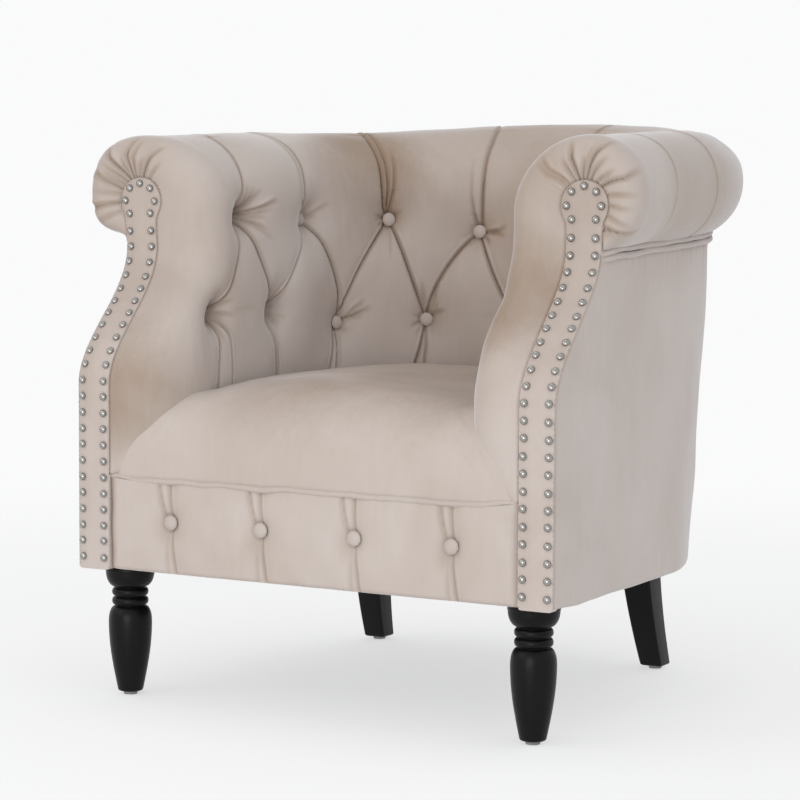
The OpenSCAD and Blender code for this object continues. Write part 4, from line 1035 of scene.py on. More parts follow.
def nylonLook():
    look, own = Look("greyNylon"), finishes["nylon"]
    scuffs = look.noise(look.place((1, 5, 1)), own["grain"], 4, 0.65)
    return look.cover(own, scuffs, scuffs * 0.2 + own["rough"], scuffs)


looks = {
    "velvet": velvetLook("velvet"),
    "velvet_trim": velvetLook("velvetTrim", 0.97),
    "black_wood": lacquerLook(),
    "nickel": metalLook("polishedNickel", colour(0.37, 0.36, 0.345), 0.12, 0.1),
    "steel": metalLook("zincedSteel", colour(0.55, 0.56, 0.58), 0.3, 0.5),
    "timber": timberLook(),
    "plywood": plywoodLook(),
    "jute": wovenLook(),
    "foam": foamLook(),
    "cardboard": cardboardLook(),
    "dust_cloth": nonwovenLook(),
    "glide_plastic": nylonLook(),
}
print("materials made")


def dress(piece, slot, nodes, look=None):
    # finish, body and the CAD nodes that a piece stands for, in one place
    piece.data.materials.append(look or looks[slot])
    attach(piece, "root")
    if nodes:
        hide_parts(*nodes)


for part in frame["record"]["subparts"]:
    node = frame["nodes"][part["node"]]
    node.data.materials.clear()
    node.data.materials.append(looks[part["material_slot"]])

# the inside's velvet: painted shade towards the back, and painted shade and light in patches
dress(insideCover, "velvet", ("back_pad", "left_arm_pad", "right_arm_pad"),
      velvetLook("velvetInside", backward=backShadeInside, areas=shadeAndLightInside))


# The seat: foot at the welt, a round fall at the front, a soft crown
seat = {
    "front": -358 * mm,
    "footZ": 272 * mm,
    "footShare": 0.97,          # the foot's outline, drawn in and a little ahead
    "footAhead": 5 * mm,
    "edgeZ": 388 * mm,
    "crown": 19 * mm,
    "crownHalf": (215 * mm, 265 * mm),
    "frontReach": 104 * mm,
    "sideReach": 26 * mm,
    "frontPower": 2.3,          # how full the front's roll is, 2 is round
    "frontFall": (-262 * mm, 70 * mm),      # where the front's roll takes over, and over what length
    "frontBulge": 6 * mm,
    "halfFront": 280 * mm,
    "flare": (105 * mm, 93 * mm),           # behind the front's line, where it widens, and over what length
    "cornerR": 12 * mm,
    "tuck": 9 * mm,             # how far it is pushed in behind the arms' cover
    "middle": -95 * mm,
    "fallSteps": 34,
    "topSteps": 46,
    "folds": ((1, 7, 1.5 * mm), (-1, 4, 0.8 * mm)),         # at the front's corners: side, count, depth
    "foldWide": 3.2 * mm,
    "foldRib": (6 * mm, 4 * mm, 14 * mm),                   # beside a fold: place, width and end
}


def seatOutline():
    mid = tubMid(seat["edgeZ"])
    r = chair["innerR"] + seat["tuck"]
    corner = seat["cornerR"]
    turn = np.linspace(math.pi / 2, -math.pi / 2, 130)
    back = np.stack([r * np.sin(turn), mid + r * np.cos(turn)], 1)
    ys = np.linspace(mid, seat["front"] + corner, 90)[1:]
    flare = ease((seat["front"] + seat["flare"][0] - ys) / seat["flare"][1]) ** 1.3
    side = np.stack([mix(r, seat["halfFront"], flare), ys], 1)
    turnIn = np.linspace(0, math.pi / 2, 12)[1:]
    x, y = side[-1]
    bend = np.stack([x - corner + corner * np.cos(turnIn), y - corner * np.sin(turnIn)], 1)
    across = np.linspace(bend[-1, 0], -bend[-1, 0], 150)[1:-1]
    front = np.stack([across, np.full(len(across), seat["front"])], 1)
    half = np.concatenate([side, bend], 0)
    mirror = np.array([-1, 1])
    return np.concatenate([back[::-1] * mirror, half * mirror, front * mirror, half[::-1]], 0)


def makeSeat():
    line = seatOutline()
    centre = np.array([0, seat["middle"]])
    length = np.linalg.norm(line - centre, axis=1)
    unit = (line - centre) / length[:, None]
    high = seat["edgeZ"] - seat["footZ"]
    frontShare = ease((seat["frontFall"][0] - line[:, 1]) / seat["frontFall"][1])
    reach = mix(seat["sideReach"], seat["frontReach"], frontShare)
    power = mix(1.0, 2 / seat["frontPower"], frontShare)

    def ring(plan, z):
        return np.column_stack([plan, np.broadcast_to(z, len(plan))])

    rings = [ring(line * seat["footShare"] - np.array([0, seat["footAhead"]]), seat["footZ"])]
    for turn in np.linspace(0.02, math.pi / 2, seat["fallSteps"]):
        inward = reach * (1 - np.cos(turn) ** power)
        bulge = seat["frontBulge"] * frontShare * np.sin(2 * turn)
        rings.append(ring(centre + unit * (length - inward + bulge)[:, None],
                          seat["footZ"] + high * np.sin(turn) ** power))
    for share in np.linspace(1, 0.02, seat["topSteps"])[1:]:
        rings.append(ring(centre + unit * ((length - reach) * share)[:, None], seat["edgeZ"]))
    grid = np.array(rings)
    # the crown: a soft dome over the whole top
    wide, deep = seat["crownHalf"]
    rho = np.hypot(grid[..., 0] / wide, (grid[..., 1] - seat["middle"]) / deep)
    rise = np.clip((grid[..., 2] - seat["footZ"]) / high, 0, 1) ** 3
    grid[..., 2] += seat["crown"] * rise * np.clip(1 - rho ** 2.4, -0.25, 1)
    # wear: faint hollows, and drawn folds at the front corners
    normals = surfaceNormals(grid)
    if normals[-25, 10, 2] < 0:
        normals = -normals      # the normal points up
    normals[-seat["topSteps"]:] = (0, 0, 1)
    puff = 0.9 * mm * waves(grid, 160 * mm, 21) + 0.25 * mm * waves(grid, 34 * mm, 22)
    rng = np.random.default_rng(5)
    front = grid[..., 1] < -250 * mm
    ribAt, ribWide, ribEnd = seat["foldRib"]
    for side, count, strength in seat["folds"]:
        for k in range(count):
            a = np.array([side * (262 - 7 * k) * mm, (288 + 9 * k) * mm])
            b = a + np.array([-side * rng.uniform(28, 62), rng.uniform(18, 46)]) * mm
            t, across, near = lineDistance(grid[..., 0], grid[..., 2], a, b, rng.normal(0, 4 * mm))
            fold = bell(near, seat["foldWide"]) - 0.7 * bell(across - ribAt, ribWide) * (near < ribEnd)
            puff -= strength * front * fold * np.sin(math.pi * np.clip(t, 0, 1)) ** 0.7 * rng.uniform(0.5, 1)
    grid += normals * (puff * ease(rise * 6 + 0.2))[..., None]
    # the seat's velvet: painted shade towards the back and in patches
    dress(shellPiece("seat", grid), "velvet", ("seat_cushion",),
          velvetLook("velvetSeat", sheen=velvet["seatSheen"], backward=backShadeSeat, areas=shadeSeat))


makeSeat()
print("seat made")


# Welts: cords under a thin cover, a little uneven, as sewn by hand
seatWelt = {
    "half": 286 * mm,
    "y": -358.5 * mm,
    "z": 276.5 * mm,
    "endsBack": 3 * mm,
    "r": 3.7 * mm,
    "uneven": 0.7 * mm,
    # it rises towards its ends: side, from where, over what length, how much
    "rises": ((1, 225 * mm, 60 * mm, 6 * mm), (-1, 245 * mm, 40 * mm, 3 * mm)),
}
doubleWelt = {
    "level": 576 * mm,
    "out": 4.2 * mm,            # outside the cover
    "faceZ": 570 * mm,
    "ahead": 2.5 * mm,
    "z": 575.6 * mm,
    "apart": 7.4 * mm,
    "dip": (5 * mm, 40 * mm, 50 * mm),          # at the front ends: how much, from where, over what length
    "endIn": (7.5 * mm, 22 * mm, 22 * mm),
    "r": 3.6 * mm,
    "uneven": 0.55 * mm,
}


def wavyTube(name, path, radius, seed, amount):
    run = runAlong(path)
    places = np.linspace(0, run[-1], int(run[-1] / (4 * mm)))
    even = np.stack([np.interp(places, run, path[:, i]) for i in range(3)], 1)
    even[:, 2] += amount * waves(even, 60 * mm, seed)
    squeeze = 1 + 0.05 * waves(even, 22 * mm, seed + 1) + 0.03 * waves(even, 7 * mm, seed + 2)
    return tubePiece(name, even, radius * squeeze)


def weltRise(x):
    return sum(high * ramp(side * x, start, over) for side, start, over, high in seatWelt["rises"])


def makeSeatWelt():
    x = np.linspace(-seatWelt["half"], seatWelt["half"], 140)
    y = seatWelt["y"] + seatWelt["endsBack"] * (np.abs(x) / seatWelt["half"]) ** 6
    path = np.stack([x, y, seatWelt["z"] + weltRise(x)], 1)
    dress(wavyTube("seatWelt", path, seatWelt["r"], 31, seatWelt["uneven"]), "velvet_trim", ("seat_welt",))


def weltPath(drop):
    r = coverR(doubleWelt["level"]) + doubleWelt["out"]
    mid = tubMid(doubleWelt["level"])
    front = stripFace(doubleWelt["faceZ"]) + doubleWelt["ahead"]
    arm = front + (mid - front) * np.linspace(0, 1, 60) ** 1.5
    left = np.stack([np.full(len(arm), -r), arm], 1)
    turn = np.linspace(math.pi / 2, -math.pi / 2, 90)
    back = np.stack([-r * np.sin(turn), mid + r * np.cos(turn)], 1)
    plan = np.concatenate([left[:-1], back, left[-2::-1] * (-1, 1)], 0)
    low, lowLightFrom, lowOver = doubleWelt["dip"]
    inwards, inFrom, inOver = doubleWelt["endIn"]
    ahead = front - plan[:, 1]
    z = doubleWelt["z"] + climb(plan[:, 1]) - drop - low * ramp(ahead, -lowLightFrom, lowOver)
    plan[:, 0] -= np.sign(plan[:, 0]) * inwards * ramp(ahead, -inFrom, inOver)
    return leanOut(np.column_stack([plan, z]))


makeSeatWelt()
for name, drop, seed in (("Upper", 0, 41), ("Lower", doubleWelt["apart"], 44)):
    dress(wavyTube("doubleWelt" + name, weltPath(drop), doubleWelt["r"], seed, doubleWelt["uneven"]),
          "velvet_trim", ("double_welt",))
print("welts made")


# The outside cover: one cloth round both sides and the back, gathered a little under the welt
outside = {
    "step": 4 * mm,
    "topZ": 571 * mm,
    "edgeRound": 7 * mm,
    "under": (4 * mm, 26 * mm),         # the cloth that is turned in below the frame
    "edgeGap": 1.3 * mm,                # behind the strip's face and beside its edge
    "lip": (64 * mm, 36 * mm),          # where it widens to the strip, and over what length
    "edgeTurn": (0.7 * mm, 2 * mm),
    "slack": 0.9 * mm,
    "ripple": 0.35 * mm,
    "puff": 3 * mm,
    "gatherStep": 18.7 * mm,
    "gatherDown": 26 * mm,
    "folds": 46,
    "foldLong": (18 * mm, 75 * mm),
    "foldDeep": (0.3 * mm, 1 * mm),
    # how far the painted shade at the edge reaches
    "edgeShadeReach": 6 * mm,
}


def makeOutside():
    r = outside["edgeRound"]
    low = chair["underZ"] + r
    down = np.arange(outside["topZ"], low, -outside["step"])
    turnUnder = np.linspace(0, math.pi / 2, 8)
    tucked = r + np.linspace(*outside["under"], 6)
    inwards = np.concatenate([np.zeros(len(down)), r * (1 - np.cos(turnUnder)), tucked])[:, None]
    z = np.concatenate([down, low - r * np.sin(turnUnder), np.full(6, chair["underZ"])])[:, None]
    radius = coverR(np.maximum(z, low)) - inwards
    mid = tubMid(z)
    risen = np.clip((z - chair["underZ"]) / (outside["topZ"] - chair["underZ"]), 0, 1)
    front = stripFace(z + climb(stripFace(z)) * risen) + outside["edgeGap"]
    stripEdge = chair["stripX"] + chair["stripHalf"] + outside["edgeGap"]

    def arm(side):
        ys = mix(mid, front, np.linspace(1, 0, 90))
        lip = ease((front + outside["lip"][0] - ys) / outside["lip"][1]) * (inwards < 1 * mm)
        edgeIn, edgeLong = outside["edgeTurn"]
        x = mix(radius, np.maximum(radius, stripEdge), lip)
        x = x - edgeIn * ease((front + edgeLong - ys) / edgeLong)
        return pointGrid(side * x, ys, z)

    backTurn = np.linspace(-math.pi / 2, math.pi / 2, 260)
    back = pointGrid(radius * np.sin(backTurn), mid + radius * np.cos(backTurn), z)
    grid = np.concatenate([arm(-1)[:, :-1], back, arm(1)[:, -2::-1]], 1)
    grid[..., 2] += climb(grid[..., 1]) * risen
    normals = surfaceNormals(grid)
    if normals[len(z) // 2, grid.shape[1] // 2, 1] < 0:
        normals = -normals      # the normal points out of the chair
    depth = outside["topZ"] - z
    run = runAlong(grid[10])[None]
    gather = np.cos(run / outside["gatherStep"] * 2 * math.pi + 3 * np.sin(run / (70 * mm)))
    gather = gather * np.exp(-depth / outside["gatherDown"])
    slack = outside["slack"] * waves(grid, 150 * mm, 51)
    slack += outside["ripple"] * waves(grid * np.array([1, 1, 0.5]), 42 * mm, 52)
    rng = np.random.default_rng(53)
    for _ in range(outside["folds"]):
        at, long = rng.uniform(0, run.max()), rng.uniform(*outside["foldLong"])
        lean = rng.normal(0, 0.12)
        across = (run - at - lean * depth) / (5 * mm + 0.06 * depth)
        slack -= rng.uniform(*outside["foldDeep"]) * bell(across, 1) * bell(depth, long)
    slack += outside["puff"] * (0.5 + 0.5 * ease(depth / (60 * mm)))
    held = ease((grid[..., 1] - front - 8 * mm) / (70 * mm)) * (1 - ease(inwards / r))
    moved = grid + normals * ((slack + outside["ripple"] * gather) * held)[..., None]
    piece = sheetPiece("outsideCover", leanOut(moved))
    # painted shade along the edge beside the nailed strip
    edge = np.clip(1 - (grid[..., 1] - front) / outside["edgeShadeReach"], 0, 1)
    paintShadeMarks(piece, edge * (np.abs(grid[..., 0]) > 300 * mm))
    # the outside cover takes less painted light low down
    dress(piece, "velvet", ("left_side_cover", "right_side_cover", "back_cover"),
          velvetLook("velvetOutside", lowLight=velvet["outsideLowLight"]))


makeOutside()
print("outside cover made")


# Nails: two columns up each strip, then round its head
nail = {
    "headR": 4.75 * mm,
    "high": 3.6 * mm,
    "pitch": 20 * mm,
    "edge": 5.8 * mm,
    "headEdge": 6.8 * mm,
    "first": 15 * mm,
    "sunk": 0.3 * mm,
    "strayX": 0.25 * mm,        # how far a nail is off its place, and off square
    "strayZ": 0.35 * mm,
    "tilt": 0.04,
}


def stripLean(z):
    return (stripFace(z + 0.5 * mm) - stripFace(z - 0.5 * mm)) / mm


def nailPlaces():
    reach = chair["stripHalf"] - nail["edge"]
    headReach = chair["headR"] - nail["headEdge"]
    joinZ = chair["headZ"] - math.sqrt(headReach ** 2 - reach ** 2)
    joinTurn = -math.acos(reach / headReach)
    z = chair["underZ"] + nail["first"]
    places = []
    while z <= joinZ - nail["pitch"] / 2:
        places += [(-reach, z), (reach, z)]
        z += nail["pitch"] / math.sqrt(1 + float(stripLean(z + nail["pitch"] / 2)) ** 2)
    count = int((math.pi / 2 - joinTurn) * headReach / nail["pitch"]) + 1
    for k in range(count):
        a = mix(joinTurn, math.pi / 2, k / count)
        places += [(s * headReach * math.cos(a), chair["headZ"] + headReach * math.sin(a)) for s in (-1, 1)]
    places.append((0, chair["headZ"] + headReach))
    return np.array(places)


def domeMesh(radius, high, steps, rings):
    # a low dome on a slightly smaller foot
    turn = np.linspace(0, 2 * math.pi, steps, endpoint=False)
    levels = [(radius * 0.94, -0.6 * mm)]
    levels += [(radius * math.cos(t), high * math.sin(t)) for t in np.arange(rings) / rings * math.pi / 2]
    points = [(r * math.cos(a), r * math.sin(a), z) for r, z in levels for a in turn]
    points.append((0, 0, high))
    faces = gridFaces(rings + 1, steps, wrap=True)
    last = rings * steps
    faces += [[last + i, last + (i + 1) % steps, (rings + 1) * steps] for i in range(steps)]
    faces.append(list(range(steps))[::-1])
    return np.array(points), faces


def domesPiece(name, places, radius, high, steps=24, rings=8):
    # places: centre, outward direction
    shape, faces = domeMesh(radius, high, steps, rings)
    points, allFaces = [], []
    for centre, out in places:
        turn = np.array(Vector(out).normalized().to_track_quat("Z", "Y").to_matrix())
        start = len(points) * len(shape)
        points.append(shape @ turn.T + np.array(centre))
        allFaces += [[start + i for i in face] for face in faces]
    return newPiece(name, np.concatenate(points), allFaces)


def makeNails():
    rng = np.random.default_rng(61)
    for name, side in sides:
        places = []
        for x, z in nailPlaces():
            x, z = x + rng.normal(0, nail["strayX"]), z + rng.normal(0, nail["strayZ"])
            out = (rng.normal(0, nail["tilt"]), -1, float(stripLean(z)) + rng.normal(0, nail["tilt"]))
            centre = leanOut((side * (chair["stripX"] + x), float(stripFace(z)) - nail["sunk"], z))
            places.append((centre, out))
        dress(domesPiece(name + "Nails", places, nail["headR"], nail["high"]), "nickel", (name + "_nails",))


makeNails()


# The nailed strips: cloth over a board, drawn in a little at each nail
strip = {
    "cloth": 0.8 * mm,
    "neckTurn": -1.05,          # where the straight sides meet the round head
    "step": 3 * mm,
    "lowZ": (0.3, 0.8, 1.6, 2.8, 4.2),          # rows at the lower edge, in mm above it
    "lowRound": 4.5 * mm,
    "edge": (0, 0.4, 1.1, 2.2, 3.6, 5.4, 8, 11, 15, 20),    # columns from the edge to the middle
    "edgeRound": 3.4 * mm,
    "edgeBack": 2.6 * mm,
    "crown": (0.9 * mm, 14 * mm),
    "nailDeep": 0.7 * mm,
    "nailWide": 6.5 * mm,
    "uneven": 0.2 * mm,
    "rim": (0, 3 * mm, 12.2 * mm),
}


def makeStripBoards():
    # the boards under the strips, leaning with them
    for name, _ in sides:
        board = frame["nodes"][name + "_strip_board"]
        points = [board.matrix_world @ corner.co for corner in board.data.vertices]
        faces = [list(face.vertices) for face in board.data.polygons]
        piece = newPiece(name + "StripBoard", leanOut(points), faces, smooth=False)
        dress(piece, "plywood", (name + "_strip_board",))


def roundOff(share):
    # a quarter circle: 1 at the edge, 0 where it meets the flat
    return 1 - np.sqrt(1 - (1 - np.clip(share, 0, 1)) ** 2)


def nearest(points, targets):
    return np.sqrt(((points[:, :, None] - targets[None, None]) ** 2).sum(-1)).min(-1)


def makeStrips():
    headZ, headR = chair["headZ"], chair["headR"]
    neck = headZ + headR * math.sin(strip["neckTurn"])
    zs = np.concatenate([
        np.arange(chair["underZ"], neck - 12 * mm, strip["step"]),
        np.linspace(neck - 10 * mm, neck - 1 * mm, 5),
        headZ + headR * np.sin(np.linspace(strip["neckTurn"], math.pi / 2, 26)),
    ])
    zs = zs[zs < headZ + headR - 0.05 * mm]
    zs = np.unique(np.concatenate([zs, chair["underZ"] + np.array(strip["lowZ"]) * mm]))
    half = len(outline) // 2
    wide = np.interp(zs, outline[:half, 1], outline[:half, 0]) + strip["cloth"]
    wide -= strip["lowRound"] * roundOff((zs - chair["underZ"]) / strip["lowRound"])
    us = 1 - np.array(strip["edge"]) / strip["edge"][-1]
    us = np.concatenate([us, -us[::-1][1:]])
    x = wide[:, None] * us
    z = np.repeat(zs[:, None], len(us), 1)
    z = z + strip["cloth"] * np.clip((z - headZ) / headR, 0, 1)
    flat = np.stack([x, z], -1)
    gap = nearest(flat, outline[::2])
    crown, crownOver = strip["crown"]
    y = stripFace(z) + strip["edgeBack"] * roundOff(gap / strip["edgeRound"])
    y += crown * (1 - ease(gap / crownOver))
    y += strip["nailDeep"] * bell(nearest(flat, nailPlaces()), strip["nailWide"])
    for name, side in sides:
        uneven = strip["uneven"] * waves(pointGrid(x * side, y, z), 30 * mm, 71)
        front = pointGrid(side * (chair["stripX"] + x), y + uneven, z)
        rim = np.concatenate([front[:, 0], front[-1, 1:-1], front[::-1, -1], front[0, 1:-1][::-1]], 0)
        rings = np.stack([rim + np.array([0, back, 0]) for back in strip["rim"]], 0)
        points = np.concatenate([front.reshape(-1, 3), rings.reshape(-1, 3)], 0)
        faces = gridFaces(*front.shape[:2])
        faces += gridFaces(len(rings), len(rim), wrap=True, start=front.shape[0] * front.shape[1])
        piece = newPiece(name + "Strip", leanOut(points), faces)
        welded = piece.modifiers.new("weld", "WELD")
        welded.merge_threshold = 0.02 * mm
        dress(piece, "velvet", (name + "_strip",))


makeStripBoards()
makeStrips()
print("strips and nails made")


# The apron below the seat: four buttons, each with a pleat above and below it
apron = {
    "half": 284 * mm,
    "lowZ": 163 * mm,
    "highZ": 275 * mm,
    "face": -360.2 * mm,
    "puff": 4.4 * mm,
    "edgeRound": 6 * mm,
    "under": (4 * mm, 18 * mm),         # the cloth that is turned in below the frame
    "endsBack": 2.5 * mm,
    "endsOver": 14 * mm,
    "buttonsX": (-195 * mm, -65 * mm, 65 * mm, 195 * mm),
    "buttonZ": 226.5 * mm,
    "pit": 10 * mm,
    "pitWide": 17 * mm,
    "valley": 13 * mm,
    "ring": (9.6 * mm, 2 * mm, 1.8 * mm),       # the rim round a button: radius, width, depth
    # pleats at a button: start and end beside it in mm, 1 for above it, strength
    "pleats": ((-6, -15, 1, 1.0), (2, 0, 1, 0.9), (0, 7, 0, 1.0), (-4, -3, 0, 0.35)),
    "pleatDeep": 2.6 * mm,
    "pleatWide": 1.5 * mm,
    "pleatRib": (3.2 * mm, 1.7 * mm, 1.1 * mm),
    # how far the painted shade at the ends reaches
    "endShadeReach": 6 * mm,
}


def apronDepth(x, z):
    depth = np.zeros_like(x)
    folds = np.zeros_like(x)
    shadeMarks = np.zeros_like(x)
    rng = np.random.default_rng(83)
    over = z - apron["buttonZ"]
    up = over / (apron["highZ"] - apron["buttonZ"])
    down = -over / (apron["buttonZ"] - apron["lowZ"])
    ringR, ringWide, ringDeep = apron["ring"]
    ribAt, ribWide, ribDeep = apron["pleatRib"]
    for at in apron["buttonsX"]:
        gap = np.maximum(np.hypot(x - at, over * 0.8) - 5 * mm, 0)
        # painted shadow below and to the left of each button
        shade = np.hypot(x - at + 4 * mm, over * 0.7 + 5 * mm)
        shadeMarks = np.maximum(shadeMarks, 0.6 * bell(shade, apron["pitWide"]))
        depth += (apron["pit"] * np.exp(-(gap / apron["pitWide"]) ** 1.25)) ** 3
        valley = np.abs(x - at - 3 * mm * np.maximum(down, 0)) / apron["valley"]
        depth += (0.5 * apron["pit"] * np.exp(-valley ** 1.4)) ** 3
        folds += ringDeep * bell(np.hypot(x - at, over) - ringR, ringWide)
        for start, end, above, strength in apron["pleats"]:
            away = up if above else down
            end = end + rng.uniform(-2, 2)
            line = x - at - mix(start, end, np.clip(away, 0, 1) ** 0.8) * mm
            inRange = ease(away / 0.12)
            lip = -1 if above and start < 0 else 1
            folds += strength * inRange * (apron["pleatDeep"] * np.exp(-np.abs(line) / apron["pleatWide"])
                                           - ribDeep * bell(line * lip - ribAt, ribWide))
            # painted shade along each pleat
            shadeMarks = np.maximum(shadeMarks, creaseShadeMark(np.abs(line), strength * inRange * 0.7))
    # painted shade at the ends, beside the strips
    ends = np.clip(1 - (apron["half"] - 2.5 * mm - np.abs(x)) / apron["endShadeReach"], 0, 1)
    return depth ** (1 / 3) + folds, np.maximum(shadeMarks, ends)


def makeApron():
    r = apron["edgeRound"]
    down = np.arange(apron["highZ"], apron["lowZ"] + r, -2.5 * mm)
    turn = np.linspace(0, math.pi / 2, 8)
    tucked = r + np.linspace(*apron["under"], 4)
    back = np.concatenate([np.zeros(len(down)), r * (1 - np.cos(turn)), tucked])[:, None]
    level = np.concatenate([down, apron["lowZ"] + r - r * np.sin(turn), np.full(len(tucked), apron["lowZ"])])
    x, z = np.meshgrid(np.arange(-apron["half"], apron["half"] + 1e-6, 2 * mm), level)
    high = np.clip((z - apron["lowZ"]) / (apron["highZ"] - apron["lowZ"]), 0, 1)
    ends = ease((apron["half"] - np.abs(x)) / apron["endsOver"])
    depth, shadeMarks = apronDepth(x, z)
    y = apron["face"] + back + depth * (1 - ease(back / r)) * 0.95
    y += apron["endsBack"] * (1 - ends) - apron["puff"] * np.sin(math.pi * high) ** 0.7 * ends
    grid = pointGrid(x, y, z + weltRise(x) * high ** 3)
    grid[..., 1] -= 0.5 * mm * waves(grid, 45 * mm, 81)
    piece = sheetPiece("apronFront", grid)
    paintShadeMarks(piece, shadeMarks)
    dress(piece, "velvet", ("apron",))


makeApron()


# Covered buttons: radius, height and how far they sit in, on the apron and on the inside
buttons = {
    "apron": (9.4 * mm, 5.2 * mm, 3.4 * mm),
    "inside": (9.2 * mm, 4.4 * mm, 0.6 * mm),
    "steps": (36, 10),
}


def makeButtons():
    radius, high, deep = buttons["apron"]
    placed = [((x, apron["face"] + deep, apron["buttonZ"]), (0, -1, 0)) for x in apron["buttonsX"]]
    piece = domesPiece("apronButtons", placed, radius, high, *buttons["steps"])
    dress(piece, "velvet_trim", ("apron_buttons",))
    radius, high, sunk = buttons["inside"]
    for row in ("upper", "lower"):
        placed = []
        for s, h, deep in buttonPlaces(row):
            index = np.argmin((insideMap["s"] - s) ** 2 + (insideMap["h"] - h) ** 2)
            base = insideMap["base"].reshape(-1, 3)[index]
            out = insideMap["normal"].reshape(-1, 3)[index]
            placed.append((base - out * (deep + sunk), out))
        piece = domesPiece(row + "Buttons", placed, radius, high, *buttons["steps"])
        dress(piece, "velvet_trim", (row + "_buttons",))


makeButtons()
print("apron and buttons made")


# Front legs: turned, with a foot, a vase, two rings and a bowl; radius and height in mm
frontLeg = {
    "x": 283 * mm,
    "y": -319.15 * mm,
    "foot": ((0.1, 4.2), (13.2, 4.2), (14.9, 4.9), (15.8, 6.2), (16.2, 8)),
    "vase": (16.2, 8, 10.9, 84),            # start, then how much wider and higher it gets
    "shoulder": (18.6, 92, 8.5, 20.2),
    "rings": (118.6, 130.0),
    "ring": (18.4, 4.4, 5.1),               # inner radius, how far it stands out, half its height
    "bowl": (18.8, 136.4, 11.6, 19.4),
    "collar": ((30.75, 156.4), (30.9, 157.2), (30.9, 163.8), (30.4, 164.5), (0.1, 164.6)),
}


def frontLegOutline():
    points = list(frontLeg["foot"])
    r, z, wide, high = frontLeg["vase"]
    points += [(r + wide * math.sin(math.pi / 2 * t), z + high * t) for t in np.linspace(0, 1, 26)[1:]]
    r, z, wide, high = frontLeg["shoulder"]
    for turn in np.linspace(0, math.pi / 2, 12)[1:]:
        points.append((r + wide * math.cos(turn), z + high * math.sin(turn) ** 0.9))
    r, wide, high = frontLeg["ring"]
    for centre in frontLeg["rings"]:
        for turn in np.linspace(-math.pi / 2, math.pi / 2, 13):
            points.append((r + wide * max(math.cos(turn), 0) ** 0.8, centre + high * math.sin(turn)))
    r, z, wide, high = frontLeg["bowl"]
    points += [(r + wide * math.sqrt(1 - (1 - t) ** 2), z + high * t) for t in np.linspace(0, 1, 22)]
    return np.array(points + list(frontLeg["collar"])) * mm


def makeFrontLegs():
    for name, side in sides:
        piece = lathePiece(name + "FrontLeg", frontLegOutline(), (side * frontLeg["x"], frontLeg["y"]))
        dress(piece, "black_wood", (name + "_front_leg",))


# Rear legs: square, swept back and a little outwards
rearLeg = {
    "x": 203.2 * mm,
    "y": 145.8 * mm,
    "top": 42 * mm,
    "foot": 31 * mm,
    "sweep": 36 * mm,
    "splay": 9 * mm,
    "lowZ": 4.3 * mm,
    "highZ": 164.6 * mm,
    "cornerR": 3.2 * mm,
    "footRound": (0.012, 1.8 * mm),         # share of the height, how much smaller the foot's end is
}


def roundedSquare(half, r, steps=7):
    turn = np.linspace(0, math.pi / 2, steps)
    points = []
    for k, (sx, sy) in enumerate(((1, 1), (-1, 1), (-1, -1), (1, -1))):
        a = turn + k * math.pi / 2
        points.append(np.stack([sx * (half - r) + r * np.cos(a), sy * (half - r) + r * np.sin(a)], 1))
    return np.concatenate(points)


def makeRearLegs():
    roundHigh, roundIn = rearLeg["footRound"]
    for name, side in sides:
        rings = []
        for t in np.concatenate([[0, roundHigh / 3, roundHigh], np.linspace(0.02, 1, 30)]):
            half = mix(rearLeg["foot"], rearLeg["top"], t) / 2 - roundIn * (1 - min(t / roundHigh, 1)) ** 2
            x = side * (rearLeg["x"] + rearLeg["splay"] * (1 - t))
            y = rearLeg["y"] + rearLeg["sweep"] * (1 - t) ** 1.7
            square = roundedSquare(half, rearLeg["cornerR"]) + np.array([x, y])
            z = mix(rearLeg["lowZ"], rearLeg["highZ"], t)
            rings.append(np.column_stack([square, np.full(len(square), z)]))
        dress(shellPiece(name + "RearLeg", np.array(rings)), "black_wood", (name + "_rear_leg",))


makeFrontLegs()
makeRearLegs()
print("legs made")


# Floor and light
stage = {
    "floorTone": colour(0.9, 0.897, 0.893),
    "floorClear": 0.62,         # how much of the white behind shows through the floor
    "backTone": colour(0.955, 0.957, 0.96),
    "skyTone": colour(0.97, 0.985, 1.0),
    "groundTone": colour(0.86, 0.85, 0.84),
    "skyPower": 0.86,
    "fadeFrom": 0.75,
    "fadeTo": 2.3,
}
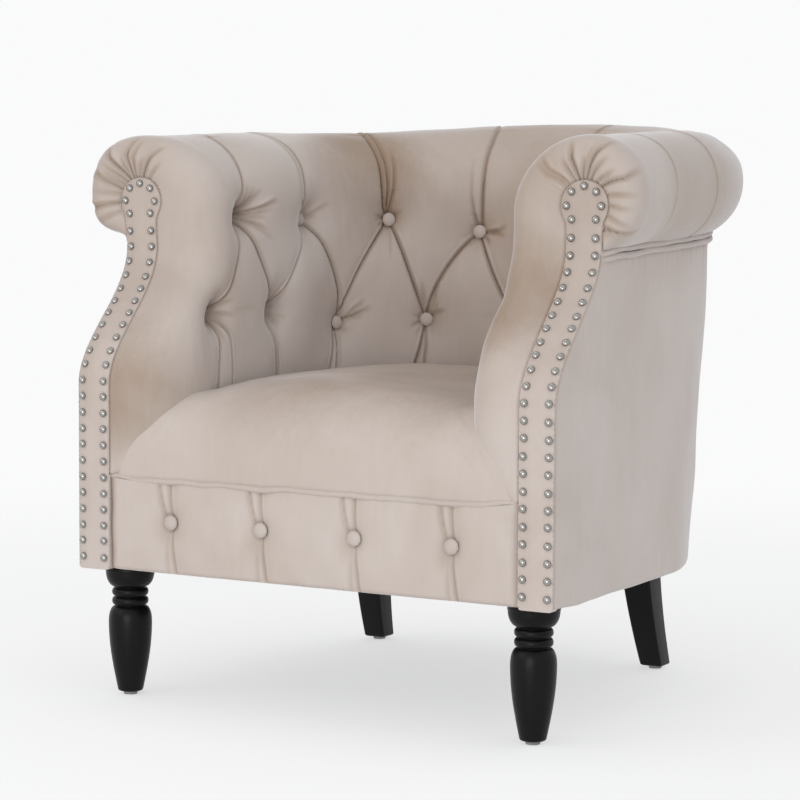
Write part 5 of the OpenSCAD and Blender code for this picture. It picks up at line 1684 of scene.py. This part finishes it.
# lamps: place, what it points at, width, power, tone
lamps = {
    "keyLight": ((-1.7, -2.6, 2.0), (0, -0.1, 0.4), 1.8, 12, (1.0, 0.985, 0.965)),
    "frontLight": ((0.6, -3.2, 0.45), (0, -0.1, 0.3), 1.8, 30, (1.0, 0.99, 0.98)),
    "topLight": ((-0.3, 0.2, 2.8), (0, 0, 0.5), 1.8, 5, (0.97, 0.985, 1.0)),
}


def makeStage():
    bpy.ops.mesh.primitive_plane_add(size=9)
    floor = bpy.context.object
    floor.name = "floor"
    look = Look("floorPaper")
    spot = look.node("TexCoord", {}, {}, out=3)
    away = look.node("VectorMath", {"operation": "LENGTH"}, {0: spot}, out=1)
    solid = look.node("BsdfDiffuse", {}, {"Color": stage["floorTone"]})
    clear = look.node("BsdfTransparent", {}, {})
    fade = away.between(stage["fadeFrom"], stage["fadeTo"]) * (1 - stage["floorClear"]) + stage["floorClear"]
    mixed = look.node("MixShader", {}, {0: fade, 1: solid, 2: clear})
    look.node("OutputMaterial", {}, {"Surface": mixed})
    floor.data.materials.append(look.material)

    world = bpy.data.worlds.new("world")
    bpy.context.scene.world = world
    world.use_nodes = True
    sky = Look("sky", world)
    ray = sky.tree.nodes.new("ShaderNodeLightPath")
    seen = Sock(sky.tree, ray.outputs["Is Camera Ray"])
    for kind in ("Is Glossy Ray", "Is Transmission Ray"):
        seen = seen.calc("MAXIMUM", Sock(sky.tree, ray.outputs[kind]))
    high = sky.node("SeparateXYZ", {}, {"Vector": sky.node("TexCoord", {}, {}, out=0)}, out=2)
    tone = sky.blend(high.between(-0.45, 0.35), stage["groundTone"], stage["skyTone"])
    light = sky.node("Background", {}, {"Color": tone, "Strength": stage["skyPower"]})
    plain = sky.node("Background", {}, {"Color": stage["backTone"]})
    both = sky.node("MixShader", {}, {0: seen, 1: light, 2: plain})
    sky.node("OutputWorld", {}, {"Surface": both})


def areaLight(name, place, target, size, power, tone):
    data = bpy.data.lights.new(name, "AREA")
    data.shape, data.size, data.energy, data.color = "DISK", size, power, tone
    lamp = bpy.data.objects.new(name, data)
    bpy.context.scene.collection.objects.link(lamp)
    lamp.location = place
    lamp.rotation_euler = (Vector(target) - Vector(place)).to_track_quat("-Z", "Y").to_euler()


makeStage()
for name, settings in lamps.items():
    areaLight(name, *settings)

view = bpy.context.scene.view_settings
view.view_transform = "Standard"
view.look = "None"
print("stage and lights made")
